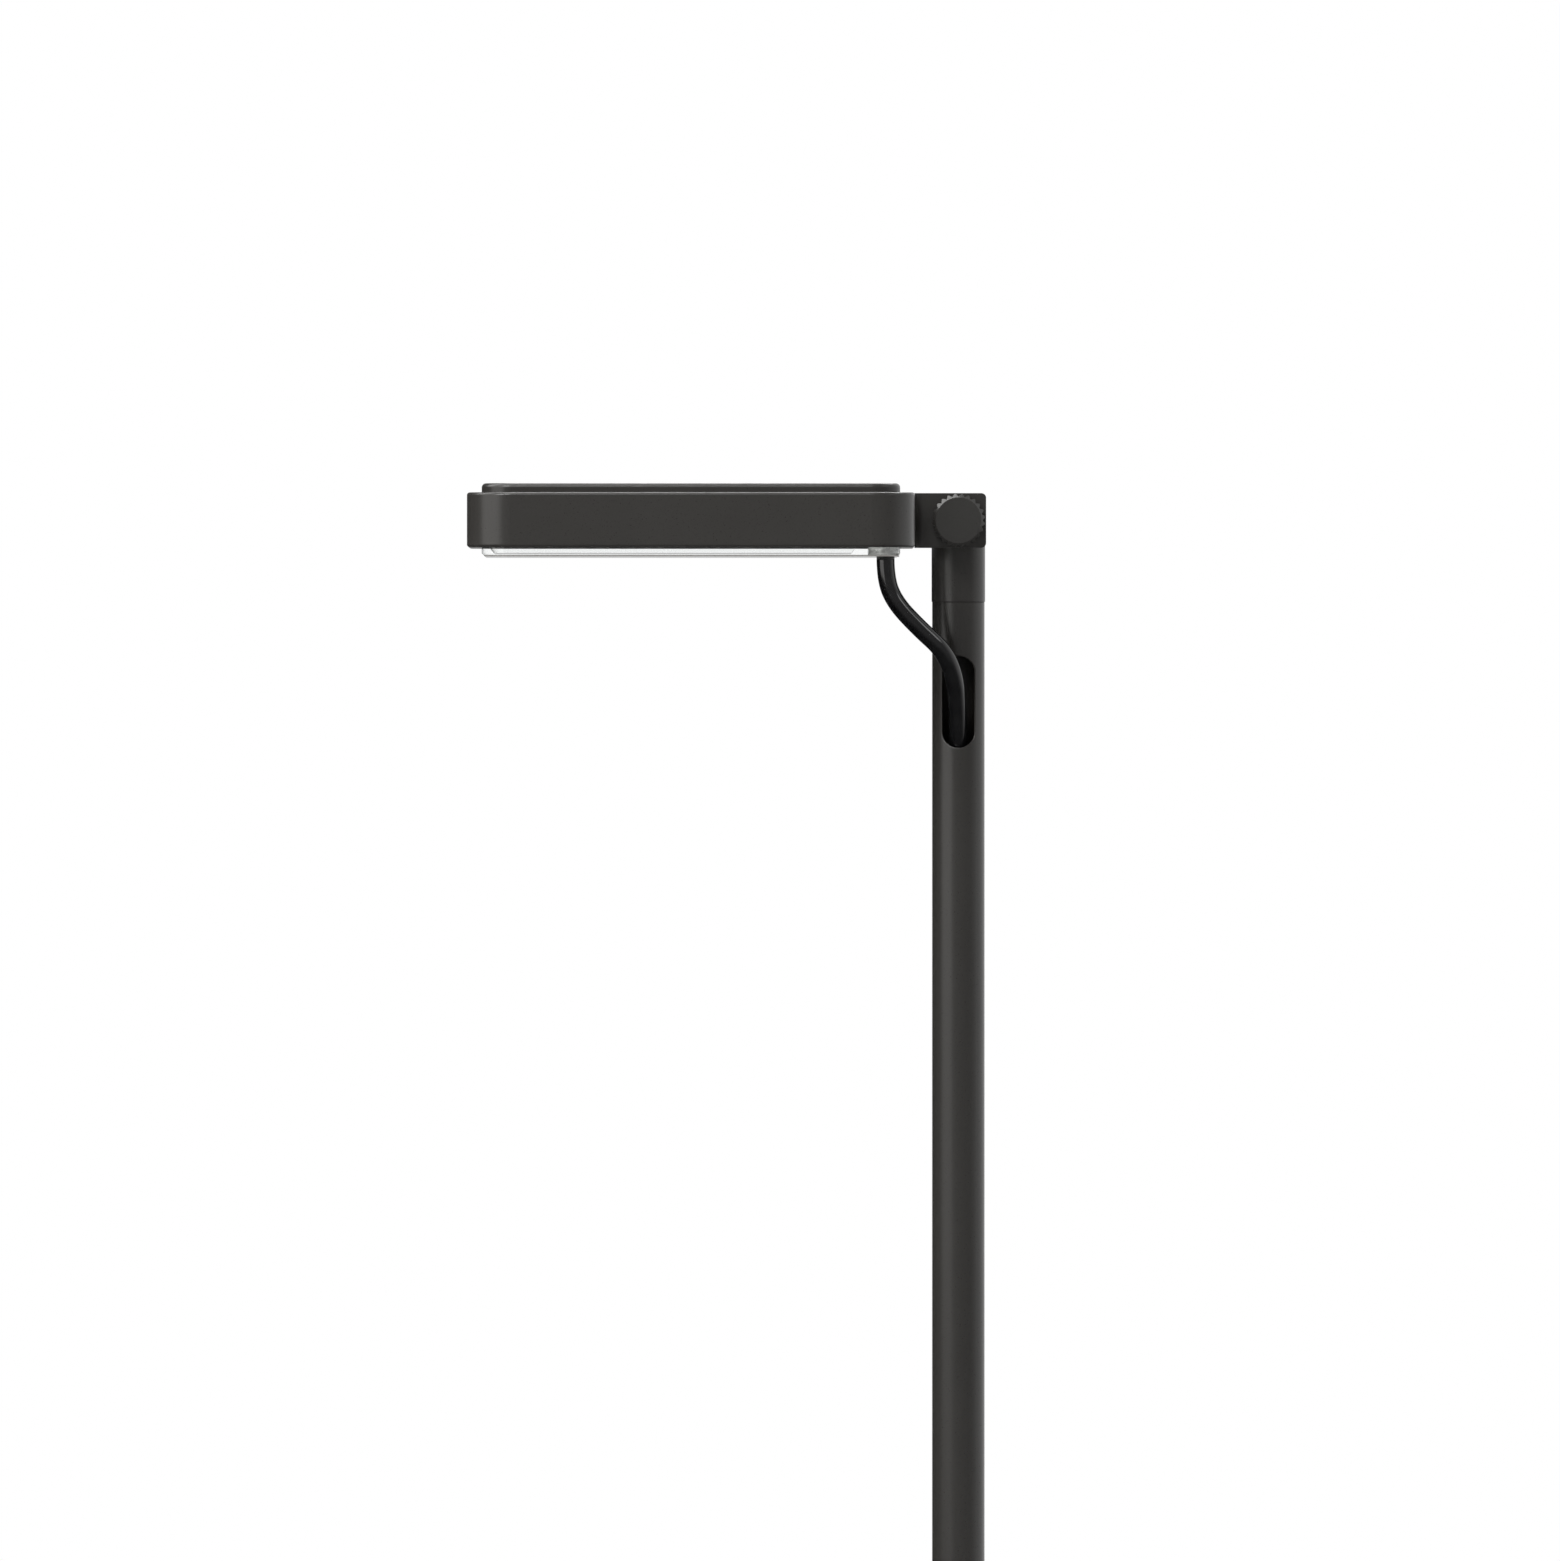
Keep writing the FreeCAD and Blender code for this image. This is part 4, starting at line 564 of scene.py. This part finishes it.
def ledGrowth(name, labels, bodyFinish, domeFinish):
    tree, size = newGrowth(name, labels)
    width = size["Body Width"]
    height = size["Body Height"]
    block = addNode(tree, "ShaderNodeCombineXYZ", None, {"X": width, "Y": width, "Z": height})
    body = raised(tree, addNode(tree, "GeometryNodeMeshCube", None, {"Size": block}), height * -0.5)
    squeeze = addNode(tree, "ShaderNodeCombineXYZ", None,
                      {"X": size["Dome Radius"], "Y": size["Dome Radius"], "Z": size["Dome Height"]})
    ball = addNode(tree, "GeometryNodeMeshUVSphere", None,
                   {"Segments": grown["domeSegments"], "Rings": grown["domeRings"], "Radius": 1.0})
    ball = addNode(tree, "GeometryNodeTransform", None, {"Geometry": ball, "Scale": squeeze})
    ball = addNode(tree, "GeometryNodeSetShadeSmooth", None, {"Geometry": ball})
    dome = addNode(tree, "GeometryNodeStoreNamedAttribute", {"data_type": "BOOLEAN", "domain": "FACE"},
                   {"Geometry": raised(tree, ball, height * -1.0), "Name": "dome", "Value": True})
    joined = addNode(tree, "GeometryNodeJoinGeometry", None, {0: [body, dome]})
    painted = closeGrowth(tree, size["Places"], joined, (0, 0, 0), bodyFinish)
    onDome = addNode(tree, "GeometryNodeInputNamedAttribute", {"data_type": "BOOLEAN"}, {"Name": "dome"})
    painted = addNode(tree, "GeometryNodeSetMaterial", None,
                      {"Geometry": painted, "Selection": onDome, "Material": domeFinish})
    addNode(tree, "NodeGroupOutput", None, {"Pieces": painted})
    return tree


def smoothRound(mesh):  # outward faces, smooth but for the sharp edges
    work = bmesh.new()
    work.from_mesh(mesh)
    bmesh.ops.recalc_face_normals(work, faces=work.faces)
    for edge in work.edges:
        if len(edge.link_faces) == 2 and edge.calc_face_angle() > grown["sharpFrom"]:
            edge.smooth = False
    for face in work.faces:
        face.smooth = True
    work.to_mesh(mesh)
    work.free()


def growPieces(name, tree, places, sizes):
    mesh = bpy.data.meshes.new(name)
    mesh.from_pydata(places, [], [])
    piece = bpy.data.objects.new(name, mesh)
    scene.collection.objects.link(piece)
    modifier = piece.modifiers.new(name, "NODES")
    modifier.node_group = tree
    for item in tree.interface.items_tree:
        if item.name in sizes:
            modifier[item.identifier] = sizes[item.name]
    evaluated = piece.evaluated_get(bpy.context.evaluated_depsgraph_get())
    solid = bpy.data.meshes.new_from_object(evaluated)
    piece.modifiers.remove(modifier)
    piece.data = solid
    bpy.data.meshes.remove(mesh)
    solid.name = name
    smoothRound(solid)
    return piece


def growOnHead(name, tree, places, sizes, node):
    piece = growPieces(name, tree, places, sizes)
    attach(piece, "head")
    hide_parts(node)
    print(name, "set at", len(places), "places,", len(piece.data.polygons), "faces")


growOnHead("coverScrewHeads", screwGrowth("coverScrewGrowth", coverScrew, finishes["stainless"]),
           [topOf(*box) for box in looseBoxes("cover_screws")], coverScrew, "cover_screws")
growOnHead("opticScrewHeads", screwGrowth("opticScrewGrowth", opticScrew, finishes["stainless"]),
           [bottomOf(*box) for box in looseBoxes("optic_screws")], opticScrew, "optic_screws")
growOnHead("ledPackages", ledGrowth("ledGrowth", ledPackage, skinFinish(ledBody), finishes["led_phosphor"]),
           [topOf(*box) for box in looseBoxes("led_chips")], ledPackage, "led_chips")

leadSheath.data.materials.append(finishes["lead_jacket"])
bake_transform(leadSheath)
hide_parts("lamp_lead")


# Stage: a pale floor that fades into a white surround, and soft lamps.

def eased(tree, value, start, full):
    return addNode(tree, "ShaderNodeMapRange", {"interpolation_type": "SMOOTHSTEP"},
                   {"Value": value, "From Min": start, "From Max": full})


ground = {"radius": 2.4, "sides": 96, "level": -0.2 * mm, "colour": tone(0.8, 0.8, 0.8),
          "fadeFrom": 0.4, "fadeTo": 1.5}


def makeFloor():
    bpy.ops.mesh.primitive_circle_add(vertices=ground["sides"], radius=ground["radius"], fill_type="NGON")
    floor = bpy.context.object
    floor.name = "floor"
    floor.location.z = ground["level"]
    material, tree = newFinish("paleFloor")
    reach = addNode(tree, "ShaderNodeVectorMath", {"operation": "LENGTH"}, {0: placeOn(tree)}, "Value")
    fade = eased(tree, reach, ground["fadeFrom"], ground["fadeTo"])
    matt = addNode(tree, "ShaderNodeBsdfDiffuse", None, {"Color": ground["colour"]})
    white = addNode(tree, "ShaderNodeEmission", None, {"Strength": 1.0})
    mixed = addNode(tree, "ShaderNodeMixShader", None, {0: fade, 1: matt, 2: white})
    underside = addNode(tree, "ShaderNodeNewGeometry", output="Backfacing")  # open from below
    clear = addNode(tree, "ShaderNodeBsdfTransparent")
    oneSided = addNode(tree, "ShaderNodeMixShader", None, {0: underside, 1: mixed, 2: clear})
    addNode(tree, "ShaderNodeOutputMaterial", None, {"Surface": oneSided})
    floor.data.materials.append(material)
    floor.visible_glossy = False


# The surround is white to the camera. As light it is bright at the right and behind,
# and dark at the left and below.
surround = {"ambient": 0.35, "front": 0.33,
            "bright": {"side": (0.77, 0.64, 0.0), "from": 0.2, "to": 0.9},
            "dark": {"side": (-0.95, 0.3, 0.0), "from": 0.1, "to": 0.7, "level": 0.06},
            "below": {"side": (0.0, 0.0, -1.0), "from": 0.0, "to": 0.6, "level": 0.15}}


def towards(tree, part):
    ray = addNode(tree, "ShaderNodeTexCoord", output="Generated")
    along = addNode(tree, "ShaderNodeVectorMath", {"operation": "DOT_PRODUCT"}, {0: ray, 1: part["side"]},
                    "Value")
    return eased(tree, along, part["from"], part["to"])


def makeSurround():
    world = bpy.data.worlds.new("whiteSurround")
    scene.world = world
    world.use_nodes = True
    tree = world.node_tree
    tree.nodes.clear()
    camera, glossy, through = [addNode(tree, "ShaderNodeLightPath", output=name)
                               for name in ("Is Camera Ray", "Is Glossy Ray", "Is Transmission Ray")]
    backdrop = surround["front"] + (1 - surround["front"]) * towards(tree, surround["bright"])
    for part in (surround["dark"], surround["below"]):
        backdrop = backdrop * (1 - (1 - part["level"]) * towards(tree, part))
    level = glossy + (1 - glossy) * surround["ambient"]  # it lights the object less than it shows in gloss
    strength = camera.atLeast(through).atLeast(backdrop * level)
    light = addNode(tree, "ShaderNodeBackground", None, {"Color": tone(1, 1, 1), "Strength": strength})
    addNode(tree, "ShaderNodeOutputWorld", None, {"Surface": light})


aim = {"fromHinge": (-0.1, 0.0, -0.1), "steep": 0.8}  # a lamp that points more steeply has its width along X
lamps = {
    "keyLeft": {"at": (-1.63, -1.155, 1.4), "size": (2.2, 2.4), "power": 33.0, "colour": (1.0, 0.99, 0.97)},
    "overhead": {"at": (-1.0, 0.15, 1.85), "size": (2.4, 0.7), "power": 28.0, "colour": (1.0, 1.0, 1.0)},
    "frontFill": {"at": (-0.63, -1.73, 2.14), "size": (0.8, 0.8), "power": 30.0, "colour": (1.0, 1.0, 1.0)},
    "backFill": {"at": (0.3, 1.6, 2.3), "size": (1.2, 0.6), "power": 20.0, "colour": (1.0, 1.0, 1.0)},
    "rightSpot": {"at": (1.45, -0.9, 1.75), "size": (0.6, 0.5), "power": 3.0, "colour": (1.0, 1.0, 1.0)},
}


def makeLamps():
    target = hinge + Vector(aim["fromHinge"])
    for name, lamp in lamps.items():
        data = bpy.data.lights.new(name, "AREA")
        data.shape = "RECTANGLE"
        data.size, data.size_y = lamp["size"]
        data.energy = lamp["power"]
        data.color = lamp["colour"]
        holder = bpy.data.objects.new(name, data)
        scene.collection.objects.link(holder)
        holder.location = lamp["at"]
        ahead = (target - holder.location).normalized()
        across = Vector((1, 0, 0)) if abs(ahead.z) > aim["steep"] else ahead.cross(Vector((0, 0, 1)))
        across = (across - ahead * across.dot(ahead)).normalized()
        up = across.cross(ahead)
        holder.rotation_euler = Matrix((across, up, -ahead)).transposed().to_euler()
        holder.visible_camera = False


makeFloor()
makeSurround()
makeLamps()
scene.view_settings.view_transform = "Standard"
print("stage set")
